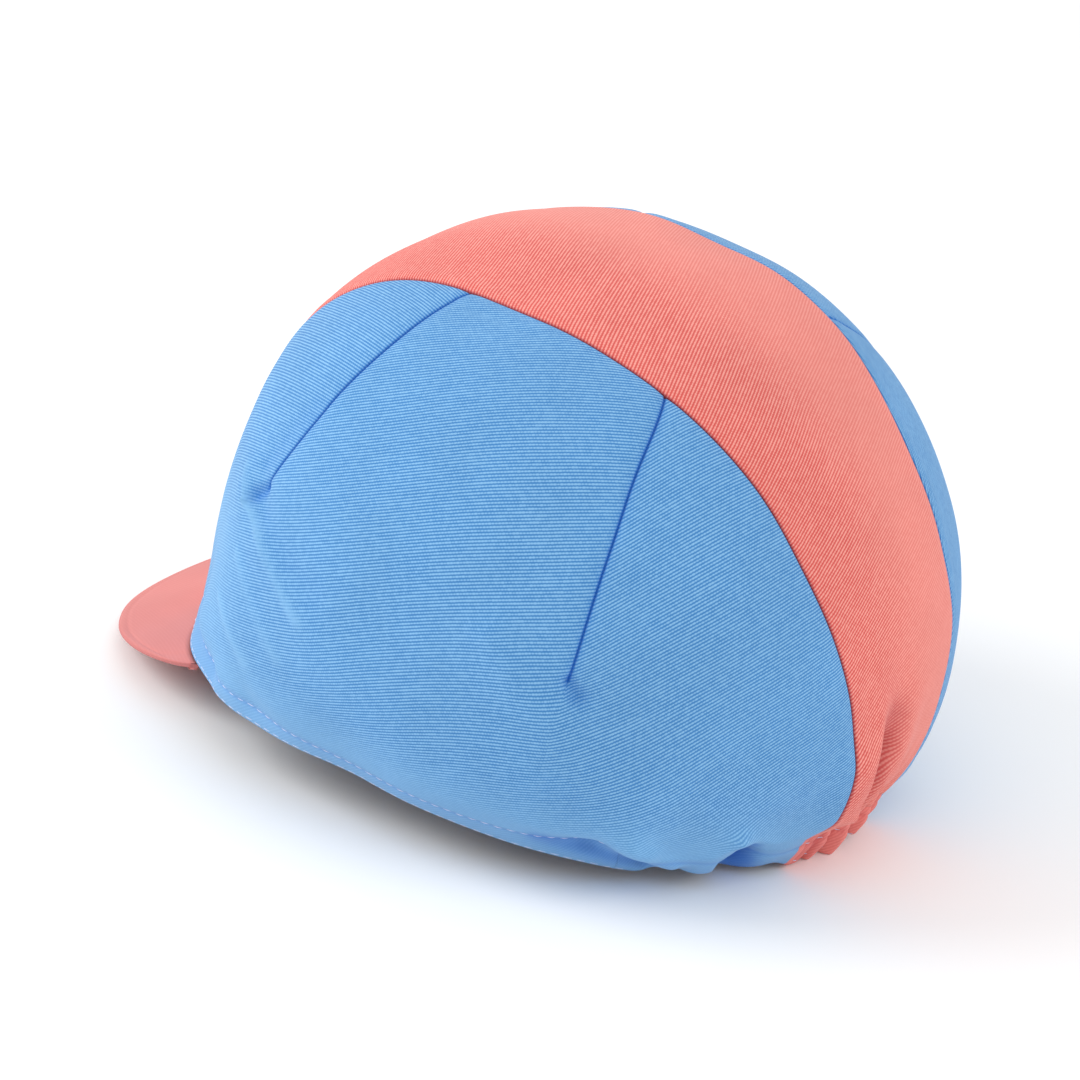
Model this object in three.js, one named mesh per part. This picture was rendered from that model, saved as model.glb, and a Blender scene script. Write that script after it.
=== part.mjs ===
import * as THREE from 'three';
import { mergeVertices } from 'three/addons/utils/BufferGeometryUtils.js';

// A cycling cap, resting by itself. Lengths are in millimetres and angles in degrees.
// +X is the wearer's left, +Y the rear and +Z up.
// The pieces are drawn in the cap's own frame, where z = 0 is the plane of the hem's lower edge,
// and are then tipped forward to rest on the peak's front edge and the rear hem.

// The crown is a rounded dome about a centre. The lower half pulls in towards the hem.
const CROWN = {
  halfWidth: 87.0,
  frontReach: 86.5,
  rearReach: 97.2,
  height: 121.8,
  centreHeight: 35.8,
  planExponent: 2.3,
  frontExponent: 2.06,
  rearExponent: 2.1,
  lowerDepthSide: 60.9,
  lowerDepthFront: 177.0,
  lowerDepthRear: 66.1,
};
const SWELL_WIDTH = 24;
// The front and rear halves of the dome blend over this share of the radius on both sides.
const BLEND_SHARE = 0.35;

const HEM_HEIGHT = 8;
const PANEL_THICKNESS = 2.0;
const STRIP_THICKNESS = 2.0;
const HEM_THICKNESS = 2.2;
const GAP = 0.3;
const CASING_START = 48;
const CASING_COLUMNS = 40;
const CASING_DROP = 4.0;
const CASING_FLARE = 3.6;
const CASING_RAMP = { from: 74, to: 80 };

const PEAK = {
  halfWidth: 58.8,
  length: 36.0,
  slope: 30.2,
  sideDroop: -7.0,
  outlineExponent: 1.9,
  splay: 0.15,
  thickness: 2.4,
  edgeThickness: 1.6,
  tongue: 2.0,
};

const PRESSED_FLAT = 0.9;
const PANEL_ROWS = 11;
const ROW_CROWDING = 1.15;
const HEM_ROWS = 2;
const CASING_ROWS = 3;
const STRIP_COLUMNS = 10;
const PEAK_COLUMNS = 28;
const PEAK_ROW_SHARES = [0, 0.2, 0.4, 0.6, 0.8, 0.94, 1];
const DART_HALF_WIDTH_COLUMNS = 0.22;
const DART_DEPTH = 0.8;
const DART_FADE = 0.1;

const BLUE = '#74aee3';
const CORAL = '#ee8a84';

// Shares from 0 to 1 in even steps.
function steps(count) {
  return Array.from({ length: count + 1 }, (_, step) => step / count);
}

// A table is a row of column names and then its rows.
function table(columns, rows) {
  return rows.map((row) => Object.fromEntries(columns.map((column, index) => [column, row[index]])));
}

// Places where the crown is fuller or flatter than the plain dome, as shares of its radius.
const SWELLS = table(
  ['name', 'azimuth', 'elevation', 'share'],
  [
    ['front_top', -90, 52, 0.0167],
    ['front_middle', -90, 22, -0.0198],
    ['front_corner_high', -45, 45, 0.0174],
    ['front_corner_low', -48, 8, -0.0501],
    ['side_high', 0, 48, 0.0517],
    ['side_middle', 0, 12, 0.0009],
    ['rear_corner_high', 48, 45, 0.0199],
    ['rear_corner_low', 50, 5, 0.0107],
    ['rear_top', 90, 55, -0.0228],
    ['rear_middle', 90, 25, -0.0103],
    ['rear_low', 90, -5, 0.0395],
    ['top', 0, 89, -0.0093],
  ],
);

// Half width of the centre strip along its length: 0 is straight ahead, 90 the top, 180 the rear.
const STRIP_WIDTHS = table(
  ['angle', 'halfWidth'],
  [
    [-25, 28.1],
    [20, 26.6],
    [50, 32.6],
    [90, 38.3],
    [130, 33.6],
    [155, 28.5],
    [180, 20.5],
    [205, 18.1],
  ],
);

// The strip's right edge wanders from the left edge's path by this much.
const RIGHT_EDGE = table(
  ['angle', 'added'],
  [
    [95, 0],
    [106, 1.7],
    [118, 2.1],
    [130, 0.2],
    [143, -2.6],
    [153, -1.8],
    [158, -0.8],
    [164, 2.2],
    [170, 4.9],
    [174, 4.7],
    [178, 2.8],
    [183, 0.9],
    [188, 0],
  ],
);

// Lines that run down a side panel from the strip's seam to the hem. The azimuths are where the
// line meets the hem and at the shares of the way up in GUIDE_SHARES. The darts follow two of them.
const GUIDE_SHARES = { lowAzimuth: 1 / 3, highAzimuth: 2 / 3, upperAzimuth: 5 / 6 };
const GUIDES = table(
  ['name', 'column', 'hemAzimuth', 'lowAzimuth', 'highAzimuth', 'upperAzimuth', 'seamAngle'],
  [
    ['front_corner', 0, -71.3, -71.3, -71.3, -71.3, -18.5],
    ['brow', 6, -60, -56, -53, -56, 48],
    ['front_dart', 11, -46.1, -36.1, -26.4, -24.3, 77.2],
    ['side', 15, -9, -3, 4, 7.3, 95],
    ['rear_dart', 19, 30, 32.7, 36.1, 39.4, 116.9],
    ['nape', 25, 55, 57, 61, 64.3, 146],
    ['rear_corner', 40, 78.4, 78.4, 78.4, 78.4, 196.8],
  ],
);
const COLUMN_COUNT = 40;

const DARTS = table(
  ['name', 'column', 'tipShare'],
  [
    ['front_dart', 11, 0.44],
    ['rear_dart', 19, 0.4],
  ],
);

// Folds and dents: a ridge (plus) or groove (minus) along a line over the crown.
const FOLDS = table(
  [
    'name', 'side', 'azimuthA', 'elevationA', 'azimuthB', 'elevationB',
    'widthA', 'widthB', 'depthA', 'depthB',
  ],
  [
    ['front_tip_dimple', 'both', -31, 14, -26, 4, 4, 6, -1.6, -0.6],
    ['front_tip_ridge', 'both', -40, 14, -28, 10, 4, 4, 1.2, 1.0],
    ['front_streak', 'both', -27, 10, -5, 0, 3.6, 4.5, 0.9, 0.4],
    ['front_corner_flare', 'both', -54, -27, -50, -19, 8, 7, 3.6, 1.2],
    ['front_corner_hollow', 'both', -53, -12, -50, 0, 6, 8, -1.8, -0.8],
    ['rear_tip_dimple', 'both', 35, 10, 38, 2, 3.5, 6, -1.8, -0.8],
    ['rear_tip_ridge', 'both', 21, 15, 38, -2, 4, 5, 1.2, 0.7],
    ['side_roll', 'both', 12, -14, 55, -15, 4, 5, 0.8, 3.2],
    ['stitch_valley', 'both', -25, -19.5, 52, -20, 2.6, 3, -0.8, -2.4],
    ['hem_notch', 'both', 56.6, -28, 57, -22, 2.2, 2.4, -3.0, -1.6],
    ['first_lobe', 'both', 62, -26, 60, -13, 3.4, 4.6, 1.8, 0.8],
    ['recess', 'both', 67, -18.5, 65, -12, 3.2, 3, -4.2, -1.8],
    ['recess_brow', 'both', 60, -8, 70, -8.5, 2.6, 2.6, 1.0, 1.0],
    ['second_lobe', 'both', 73, -24, 73, -14, 3.2, 4, 1.4, 0.9],
    ['strip_ridge', 'left', 82.8, 6, 84.5, -8, 2.4, 2, 0.8, 1.8],
    ['strip_crease', 'left', 86.5, 5, 86.5, -8, 2, 2, -0.8, -1.8],
    ['strip_valley_right', 'right', 86, -2, 85, -12, 4, 3, -1.0, -2.0],
  ],
);

// Pleats that the elastic draws in the strip's hem, deepest at its lower edge.
const PLEATS = {
  from: 79,
  to: 101,
  count: 6.5,
  depth: 1.7,
  unevenness: 0.7,
  drift: 0.37,
  endShare: 0.1,
};

const HALVINGS = 34;
const NORMAL_STEP = 0.006;
const SETTLING_STEPS = 18;
const TINY = 1e-12;
const STEEPEST_SHARE = 0.95;
const LARGEST_TILT = 20;

// Ranges in which a place on the hem is looked for, the first angle below the hem plane.
const HEM_SEARCH = { from: -85, to: 17 };
const STRIP_FRONT_SEARCH = { from: -45, to: 10 };
const STRIP_REAR_SEARCH = { from: 215, to: 170 };
const FRONT_RIM_SEARCH = { from: -90, to: -10 };

const rad = THREE.MathUtils.degToRad;
const deg = THREE.MathUtils.radToDeg;
const mix = THREE.MathUtils.lerp;
const clamp = THREE.MathUtils.clamp;
const smoothstep = THREE.MathUtils.smoothstep;
const CENTRE = new THREE.Vector3(0, 0, CROWN.centreHeight);

function direction(azimuth, elevation) {
  const level = Math.cos(rad(elevation));
  return new THREE.Vector3(
    Math.cos(rad(azimuth)) * level,
    Math.sin(rad(azimuth)) * level,
    Math.sin(rad(elevation)),
  );
}

// A smooth curve through one column of a table.
function along(rows, place, value, at) {
  const slopeAt = (index) => {
    const here = rows[index];
    const before = rows[index - 1];
    const after = rows[index + 1];
    const slope = (a, b) => (b[value] - a[value]) / (b[place] - a[place]);
    if (!before) return slope(here, after);
    if (!after) return slope(before, here);
    const left = here[place] - before[place];
    const right = after[place] - here[place];
    return (slope(before, here) * right + slope(here, after) * left) / (left + right);
  };
  let index = 0;
  while (index < rows.length - 2 && at > rows[index + 1][place]) index += 1;
  const start = rows[index];
  const end = rows[index + 1];
  const span = end[place] - start[place];
  const t = clamp((at - start[place]) / span, 0, 1);
  const t2 = t * t;
  const t3 = t2 * t;
  return (2 * t3 - 3 * t2 + 1) * start[value]
    + (t3 - 2 * t2 + t) * span * slopeAt(index)
    + (3 * t2 - 2 * t3) * end[value]
    + (t3 - t2) * span * slopeAt(index + 1);
}

const swellLines = SWELLS.map((row) => ({ ...row, line: direction(row.azimuth, row.elevation) }));

// The dome's radius in a direction from its centre, without folds.
function domeRadius(unit) {
  const rearShare = smoothstep(unit.y, -BLEND_SHARE, BLEND_SHARE);
  const reach = mix(CROWN.frontReach, CROWN.rearReach, rearShare);
  const upright = mix(CROWN.frontExponent, CROWN.rearExponent, rearShare);
  const across = Math.abs(unit.x / CROWN.halfWidth);
  const lengthwise = Math.abs(unit.y / reach);
  const plan = (across ** CROWN.planExponent + lengthwise ** CROWN.planExponent) ** (1 / CROWN.planExponent);
  const lengthShare = lengthwise ** 2 / (across ** 2 + lengthwise ** 2 + TINY);
  const lowerEnd = unit.y > 0 ? CROWN.lowerDepthRear : CROWN.lowerDepthFront;
  const lower = mix(CROWN.lowerDepthSide, lowerEnd, lengthShare);
  const vertical = unit.z > 0 ? CROWN.height - CROWN.centreHeight : lower;
  const inverse = (plan ** upright + Math.abs(unit.z / vertical) ** upright) ** (1 / upright);
  const mirrored = new THREE.Vector3(Math.abs(unit.x), unit.y, unit.z);
  const swell = swellLines.reduce((sum, row) => {
    const away = deg(Math.acos(clamp(mirrored.dot(row.line), -1, 1)));
    return sum + row.share * Math.exp(-((away / SWELL_WIDTH) ** 2));
  }, 1);
  return swell / inverse;
}

const foldLines = FOLDS.map((row) => ({
  ...row,
  start: direction(row.azimuthA, row.elevationA),
  end: direction(row.azimuthB, row.elevationB),
}));

function foldDepth(unit) {
  const mirrored = new THREE.Vector3(Math.abs(unit.x), unit.y, unit.z);
  return foldLines.reduce((sum, row) => {
    if (row.side === 'left' && unit.x < 0) return sum;
    if (row.side === 'right' && unit.x > 0) return sum;
    const line = row.end.clone().sub(row.start);
    const share = clamp(mirrored.clone().sub(row.start).dot(line) / line.lengthSq(), 0, 1);
    const nearest = row.start.clone().addScaledVector(line, share);
    const away = deg(nearest.distanceTo(mirrored));
    const width = mix(row.widthA, row.widthB, share);
    return sum + mix(row.depthA, row.depthB, share) * Math.exp(-((away / width) ** 2));
  }, 0);
}

function pleatDepth(azimuth, heightShare) {
  const place = (azimuth - PLEATS.from) / (PLEATS.to - PLEATS.from);
  if (place < 0 || place > 1) return 0;
  const turn = 2 * Math.PI * PLEATS.count * place;
  const ends = smoothstep(place, 0, PLEATS.endShare) * smoothstep(1 - place, 0, PLEATS.endShare);
  const phase = turn + PLEATS.unevenness * Math.sin(PLEATS.drift * turn);
  return PLEATS.depth * ends * (1 - heightShare) * Math.cos(phase);
}

// Folds stand out level below the crown's centre, so that the hem's edge stays in its plane.
function crownPoint(unit, extra = 0) {
  const outward = new THREE.Vector3(unit.x, unit.y, Math.max(unit.z, 0)).normalize();
  return CENTRE.clone()
    .addScaledVector(unit, domeRadius(unit))
    .addScaledVector(outward, foldDepth(unit) + extra);
}

// The dome's outward normal, worked out without the folds so that walls keep an even thickness.
function domeNormal(unit) {
  const level = (offset) => {
    const place = unit.clone().add(offset);
    const length = place.length();
    return length / domeRadius(place.divideScalar(length));
  };
  const slope = (x, y, z) => {
    const offset = new THREE.Vector3(x, y, z).multiplyScalar(NORMAL_STEP);
    return level(offset) - level(offset.clone().negate());
  };
  return new THREE.Vector3(slope(1, 0, 0), slope(0, 1, 0), slope(0, 0, 1)).normalize();
}

// The place between two values up to which a test holds, found by halving.
function halve(low, high, isBefore) {
  let before = low;
  let after = high;
  for (let step = 0; step < HALVINGS; step += 1) {
    const middle = (before + after) / 2;
    if (isBefore(middle)) before = middle;
    else after = middle;
  }
  return before;
}

const isBelow = (unit, height) => CROWN.centreHeight + unit.z * domeRadius(unit) < height;

// The direction in which the dome passes a height above the hem plane.
function levelDirection(azimuth, height) {
  const { from, to } = HEM_SEARCH;
  return direction(azimuth, halve(from, to, (elevation) => isBelow(direction(azimuth, elevation), height)));
}

// The direction of a point on the strip: across is its offset from the middle line in millimetres.
function stripDirection(angle, across) {
  let aside = across / CROWN.halfWidth;
  let unit;
  for (let step = 0; step < SETTLING_STEPS; step += 1) {
    unit = new THREE.Vector3(
      Math.sin(aside),
      -Math.cos(aside) * Math.cos(rad(angle)),
      Math.cos(aside) * Math.sin(rad(angle)),
    );
    aside = Math.asin(clamp(across / domeRadius(unit), -STEEPEST_SHARE, STEEPEST_SHARE));
  }
  return unit;
}

function stripHalfWidth(angle, side = 'left') {
  const width = along(STRIP_WIDTHS, 'angle', 'halfWidth', angle);
  return side === 'left' ? width : width + along(RIGHT_EDGE, 'angle', 'added', angle);
}

// The strip angle at which a lengthwise line of the strip passes a height, at the front or rear.
function stripAngleAt(height, widthShare, inset, isRear) {
  const { from, to } = isRear ? STRIP_REAR_SEARCH : STRIP_FRONT_SEARCH;
  return halve(from, to, (angle) => (
    isBelow(stripDirection(angle, widthShare * (stripHalfWidth(angle) - inset)), height)
  ));
}

// One closed body between an outer and an inner grid of points. Equal points are shared, so a
// column that runs to a point closes cleanly.
function shellGeometry(outer, inner) {
  const columns = outer.length;
  const rows = outer[0].length;
  const last = columns - 1;
  const top = rows - 1;
  const positions = [...outer.flat(), ...inner.flat()].flatMap((point) => point.toArray());
  const at = (column, row) => column * rows + row;
  const under = (column, row) => columns * rows + at(column, row);
  const faces = [];
  const quad = (a, b, c, d) => faces.push([a, b, c], [a, c, d]);
  for (let column = 0; column < last; column += 1) {
    for (let row = 0; row < top; row += 1) {
      quad(at(column, row), at(column + 1, row), at(column + 1, row + 1), at(column, row + 1));
      quad(under(column, row), under(column, row + 1), under(column + 1, row + 1), under(column + 1, row));
    }
    quad(at(column, 0), under(column, 0), under(column + 1, 0), at(column + 1, 0));
    quad(at(column, top), at(column + 1, top), under(column + 1, top), under(column, top));
  }
  for (let row = 0; row < top; row += 1) {
    quad(at(0, row), at(0, row + 1), under(0, row + 1), under(0, row));
    quad(at(last, row), under(last, row), under(last, row + 1), at(last, row + 1));
  }
  const raw = new THREE.BufferGeometry();
  raw.setAttribute('position', new THREE.Float32BufferAttribute(positions, 3));
  raw.setIndex(faces.flat());
  return facingOut(mergeVertices(raw, 1e-4));
}

// Drops triangles without area and turns all faces outwards.
function facingOut(geometry) {
  const index = Array.from(geometry.index.array);
  const corner = (vertex) => new THREE.Vector3().fromBufferAttribute(geometry.attributes.position, vertex);
  const kept = [];
  let volume = 0;
  for (let start = 0; start < index.length; start += 3) {
    const [a, b, c] = index.slice(start, start + 3);
    if (a !== b && b !== c && c !== a) {
      kept.push([a, b, c]);
      volume += corner(a).dot(corner(b).cross(corner(c)));
    }
  }
  geometry.setIndex(kept.flatMap(([a, b, c]) => (volume > 0 ? [a, b, c] : [a, c, b])));
  return geometry;
}

// The same normal seen in plan, which gives a band a level lower edge.
function levelNormal(unit) {
  return domeNormal(unit).setZ(0).normalize();
}

// A sheet of the crown, from a grid of directions and the distance that each point stands out.
function crownSheet(grid, thickness, extra = () => 0, normalAt = domeNormal) {
  const outer = grid.map((column, i) => column.map((unit, j) => crownPoint(unit, extra(i, j))));
  const inner = grid.map((column, i) => column.map((unit, j) => (
    outer[i][j].clone().addScaledVector(normalAt(unit), -thickness)
  )));
  return { outer, inner };
}

// Column places over a side panel: whole numbers, with a close pair beside each dart.
function columnPlaces() {
  const places = Array.from({ length: COLUMN_COUNT + 1 }, (_, index) => index);
  for (const dart of DARTS) {
    places.push(dart.column - DART_HALF_WIDTH_COLUMNS, dart.column + DART_HALF_WIDTH_COLUMNS);
  }
  return places.sort((a, b) => a - b);
}

const PLACES = columnPlaces();
const guide = (value, place) => along(GUIDES, 'column', value, place);
const seamAngles = PLACES.map((place) => guide('seamAngle', place));

// The panel's seam edge keeps half a gap outside the strip, and its lower edge half a gap over the hem.
const hemLine = HEM_HEIGHT + GAP / 2;
const seamFront = stripAngleAt(hemLine, 1, -GAP / 2, false);
const seamRear = stripAngleAt(hemLine, 1, -GAP / 2, true);
const seamShare = seamAngles.map((angle) => (
  (angle - seamAngles[0]) / (seamAngles[seamAngles.length - 1] - seamAngles[0])
));

function azimuthOf(unit) {
  return deg(Math.atan2(unit.y, unit.x));
}

function elevationOf(unit) {
  return deg(Math.asin(unit.z));
}

function seamPoint(index, offset, side = 'left') {
  const angle = mix(seamFront, seamRear, seamShare[index]);
  return stripDirection(angle, stripHalfWidth(angle, side) + offset);
}

// The rows of a panel lie closer together near the hem, where the folds are.
function rowShare(row) {
  return (row / PANEL_ROWS) ** ROW_CROWDING;
}

// A side panel's directions, drawn on the wearer's left. Its lines shift with a seam that wanders.
function panelGrid(side = 'left') {
  const frontCorner = azimuthOf(seamPoint(0, GAP / 2));
  const rearCorner = azimuthOf(seamPoint(PLACES.length - 1, GAP / 2));
  const fit = (azimuth) => mix(
    frontCorner,
    rearCorner,
    (azimuth - GUIDES[0].hemAzimuth) / (GUIDES[GUIDES.length - 1].hemAzimuth - GUIDES[0].hemAzimuth),
  );
  return PLACES.map((place, index) => {
    const seam = seamPoint(index, GAP / 2, side);
    const foot = levelDirection(fit(guide('hemAzimuth', place)), hemLine);
    const shift = azimuthOf(seam) - azimuthOf(seamPoint(index, GAP / 2));
    const guided = Object.entries(GUIDE_SHARES).map(([name, share]) => ({
      share,
      azimuth: fit(guide(name, place)) + shift * share,
    }));
    const line = [{ share: 0, azimuth: azimuthOf(foot) }, ...guided, { share: 1, azimuth: azimuthOf(seam) }];
    return Array.from({ length: PANEL_ROWS + 1 }, (_, row) => {
      const share = rowShare(row);
      const elevation = mix(elevationOf(foot), elevationOf(seam), share);
      return direction(along(line, 'share', 'azimuth', share), elevation);
    });
  });
}

function dartGroove(column, row) {
  return DARTS.reduce((sum, dart) => {
    if (PLACES[column] !== dart.column) return sum;
    return sum - DART_DEPTH * smoothstep(rowShare(row), dart.tipShare, dart.tipShare + DART_FADE);
  }, 0);
}

const mirrorX = (point) => new THREE.Vector3(-point.x, point.y, point.z);
const mirrorGrid = (grid) => grid.map((column) => column.map(mirrorX));

function onSide(side, sheet) {
  return side === 'left' ? sheet : { outer: mirrorGrid(sheet.outer), inner: mirrorGrid(sheet.inner) };
}

function panel(side) {
  const grid = side === 'left' ? panelGrid() : mirrorGrid(panelGrid('right'));
  return crownSheet(grid, PANEL_THICKNESS, dartGroove);
}

// The strip runs from the peak over the top to the casing at the rear.
function strip() {
  const grid = [];
  for (let step = 0; step <= STRIP_COLUMNS; step += 1) {
    const share = (2 * step) / STRIP_COLUMNS - 1;
    const front = stripAngleAt(hemLine, Math.abs(share), GAP / 2, false);
    const rear = stripAngleAt(hemLine, Math.abs(share), GAP / 2, true);
    const foot = stripAngleAt(0, Math.abs(share), GAP / 2, false);
    const angles = [foot, ...seamShare.map((place) => mix(front, rear, place))];
    const side = share < 0 ? 'right' : 'left';
    grid.push(angles.map((angle) => stripDirection(angle, share * (stripHalfWidth(angle, side) - GAP / 2))));
  }
  return crownSheet(grid, STRIP_THICKNESS);
}

// A band of the hem between two heights over the hem plane.
function band(azimuths, rows, drop = () => 0, ribs = () => 0) {
  const grid = azimuths.map((azimuth) => {
    const bottom = -drop(azimuth);
    const top = HEM_HEIGHT - GAP / 2;
    return steps(rows).map((share) => levelDirection(azimuth, mix(bottom, top, share)));
  });
  return crownSheet(grid, HEM_THICKNESS, (column, row) => ribs(azimuths[column], row / rows), levelNormal);
}

function hemAzimuths(from, to) {
  const inset = deg(GAP / 2 / CROWN.halfWidth);
  const all = panelGrid().map((column) => azimuthOf(column[0]));
  const inside = all.filter((azimuth) => azimuth > from + 1 && azimuth < to - 1);
  return [from + inset, ...inside, to - inset];
}

const frontCornerAzimuth = azimuthOf(seamPoint(0, GAP));
const rearCornerAzimuth = azimuthOf(seamPoint(PLACES.length - 1, GAP));

function hem(side) {
  return onSide(side, band(hemAzimuths(frontCornerAzimuth, CASING_START), HEM_ROWS));
}

// The casing hangs lower and stands out more towards the strip.
const centreShare = (azimuth) => smoothstep(azimuth, CASING_RAMP.from, CASING_RAMP.to);
const casingDrop = (azimuth) => CASING_DROP * centreShare(Math.min(azimuth, 180 - azimuth));

function casingRibs(azimuth, heightShare) {
  const flare = CASING_FLARE * centreShare(Math.min(azimuth, 180 - azimuth)) * (1 - heightShare);
  return flare + pleatDepth(azimuth, heightShare);
}

function sideCasing(side) {
  const azimuths = hemAzimuths(CASING_START, rearCornerAzimuth);
  return onSide(side, band(azimuths, CASING_ROWS, casingDrop, casingRibs));
}

function centreCasing() {
  const inset = deg(GAP / CROWN.rearReach);
  const from = rearCornerAzimuth + inset;
  const to = 180 - from;
  const azimuths = steps(CASING_COLUMNS).map((share) => mix(from, to, share));
  return band(azimuths, CASING_ROWS, casingDrop, casingRibs);
}

// The hem's lower edge in plan, in the direction of an azimuth.
function rimPoint(azimuth) {
  return crownPoint(levelDirection(azimuth, 0));
}

// The point of the front rim at an offset from the middle line, a gap under the hem.
function frontRimAt(x) {
  const { from, to } = FRONT_RIM_SEARCH;
  const azimuth = halve(from, to, (place) => rimPoint(place).x < Math.abs(x));
  const point = rimPoint(azimuth);
  return new THREE.Vector3(Math.sign(x) * point.x, point.y, -GAP);
}

// The outward normal of the front rim in plan.
function rimNormal(x) {
  const left = frontRimAt(x - 1);
  const right = frontRimAt(x + 1);
  return new THREE.Vector3(right.y - left.y, left.x - right.x, 0).normalize();
}

// The peak slopes forward from the rim. A short tongue of it lies under the hem.
function peak() {
  const outer = [];
  for (let step = 0; step <= PEAK_COLUMNS; step += 1) {
    const turn = mix(-90, 90, step / PEAK_COLUMNS);
    const share = Math.sin(rad(turn));
    const root = frontRimAt(PEAK.halfWidth * share);
    const reach = PEAK.length * Math.max(Math.cos(rad(turn)), 0) ** (2 / PEAK.outlineExponent);
    const slope = rad(PEAK.slope + PEAK.sideDroop * share * share);
    const tongue = new THREE.Vector3(root.x, root.y, 0).setLength(-PEAK.tongue).add(root);
    const ahead = rimNormal(PEAK.halfWidth * share).multiplyScalar(PEAK.splay);
    ahead.y -= 1 - PEAK.splay;
    ahead.normalize();
    const edge = (length) => new THREE.Vector3(
      root.x + length * Math.cos(slope) * ahead.x,
      root.y + length * Math.cos(slope) * ahead.y,
      root.z - length * Math.sin(slope),
    );
    outer.push([tongue, ...PEAK_ROW_SHARES.map((part) => edge(part * Math.max(reach, GAP)))]);
  }
  const inner = outer.map((column, i) => column.map((point, j) => {
    const left = outer[Math.max(i - 1, 0)][j];
    const right = outer[Math.min(i + 1, outer.length - 1)][j];
    const back = column[Math.max(j - 1, 0)];
    const ahead = column[Math.min(j + 1, column.length - 1)];
    const normal = right.clone().sub(left).cross(back.clone().sub(ahead)).normalize();
    const isEdge = j === column.length - 1;
    return point.clone().addScaledVector(normal, -(isEdge ? PEAK.edgeThickness : PEAK.thickness));
  }));
  return { outer, inner };
}

// The cap is tipped forward until the peak's front edge and the rear hem reach the surface, and
// what is pressed on the surface is flat.
const sheets = {
  centre_strip: strip(),
  panel_left: panel('left'),
  panel_right: panel('right'),
  hem_left: hem('left'),
  hem_right: hem('right'),
  casing_left: sideCasing('left'),
  casing_right: sideCasing('right'),
  casing_centre: centreCasing(),
  peak: peak(),
};

function lowestIn(sheet, tilt) {
  const heights = [...sheet.outer.flat(), ...sheet.inner.flat()].map((point) => (
    point.z * Math.cos(tilt) - point.y * Math.sin(tilt)
  ));
  return Math.min(...heights);
}

const TILT = halve(0, rad(LARGEST_TILT), (tilt) => (
  lowestIn(sheets.peak, tilt) < lowestIn(sheets.casing_centre, tilt)
));
const FLOOR = lowestIn(sheets.peak, TILT) + PRESSED_FLAT;

function stand(point) {
  const y = point.y * Math.cos(TILT) + point.z * Math.sin(TILT);
  const z = point.z * Math.cos(TILT) - point.y * Math.sin(TILT) - FLOOR;
  return new THREE.Vector3(point.x, y, Math.max(z, 0));
}

const standing = Object.entries(sheets).map(([name, sheet]) => ({
  name,
  outer: sheet.outer.map((column) => column.map(stand)),
  inner: sheet.inner.map((column) => column.map(stand)),
}));

const corners = standing.flatMap((sheet) => [...sheet.outer.flat(), ...sheet.inner.flat()]);
const bounds = new THREE.Box3().setFromPoints(corners);
const middle = bounds.getCenter(new THREE.Vector3());

const cap = new THREE.Group();
for (const sheet of standing) {
  const color = /left|right/.test(sheet.name) ? BLUE : CORAL;
  const material = new THREE.MeshStandardMaterial({ color, roughness: 0.9, metalness: 0 });
  const mesh = new THREE.Mesh(shellGeometry(sheet.outer, sheet.inner), material);
  mesh.name = sheet.name;
  mesh.position.set(-middle.x, -middle.y, 0);
  cap.add(mesh);
}

export default cap;
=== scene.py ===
import math

import bpy
import numpy as np
from mathutils import Matrix


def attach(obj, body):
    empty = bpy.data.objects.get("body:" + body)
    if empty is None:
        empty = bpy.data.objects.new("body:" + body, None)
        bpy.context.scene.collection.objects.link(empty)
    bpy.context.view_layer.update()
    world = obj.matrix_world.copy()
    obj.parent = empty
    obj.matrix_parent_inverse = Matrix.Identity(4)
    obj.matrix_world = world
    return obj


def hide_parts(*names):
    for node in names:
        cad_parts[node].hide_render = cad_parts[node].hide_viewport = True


# A cloth cycling cap, resting by itself. Lengths are in millimetres and angles in degrees until
# the meshes are made. The cap's own frame has +X to the wearer's left, +Y to the rear, and z = 0
# in the plane of the hem's lower edge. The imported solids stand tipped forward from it.

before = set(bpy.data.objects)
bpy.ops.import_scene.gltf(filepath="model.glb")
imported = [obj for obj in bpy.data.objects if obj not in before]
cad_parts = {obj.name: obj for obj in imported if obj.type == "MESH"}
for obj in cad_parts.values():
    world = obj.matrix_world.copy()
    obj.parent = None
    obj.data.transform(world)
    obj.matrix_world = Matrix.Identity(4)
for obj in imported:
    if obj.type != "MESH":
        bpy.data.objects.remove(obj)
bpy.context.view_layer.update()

CROWN = {
    "half_width": 87.0,
    "front_reach": 86.5,
    "rear_reach": 97.2,
    "height": 121.8,
    "centre_height": 35.8,
    "plan_exponent": 2.3,
    "front_exponent": 2.06,
    "rear_exponent": 2.1,
    "lower_depth_side": 60.9,
    "lower_depth_front": 177.0,
    "lower_depth_rear": 66.1,
}
SWELL_WIDTH = 24
BLEND_SHARE = 0.35
HEM_HEIGHT = 8
PANEL_THICKNESS = 2.0
STRIP_THICKNESS = 2.0
HEM_THICKNESS = 2.2
GAP = 0.3
CASING_START = 48
CASING_FLARE = 3.6
CASING_RAMP = (74, 80)
FRONT_CORNER = -71.07012117
REAR_CORNER = 78.18498308
PEAK = {
    "half_width": 58.8,
    "length": 36.0,
    "slope": 30.2,
    "side_droop": -7.0,
    "outline_exponent": 1.9,
    "splay": 0.15,
    "thickness": 2.4,
    "edge_thickness": 1.6,
    "tongue": 2.0,
}

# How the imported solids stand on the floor, and the strip angles where its seams meet the hem.
TILT = 4.46844503
FLOOR = -9.86119944
MIDDLE_Y = -6.76698909
SEAM_FRONT = -18.65085633
SEAM_REAR = 196.94615833

METRE = 1000
HALVINGS = 34
SETTLING_STEPS = 14
NORMAL_STEP = 0.006
TINY = 1e-12
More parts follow.
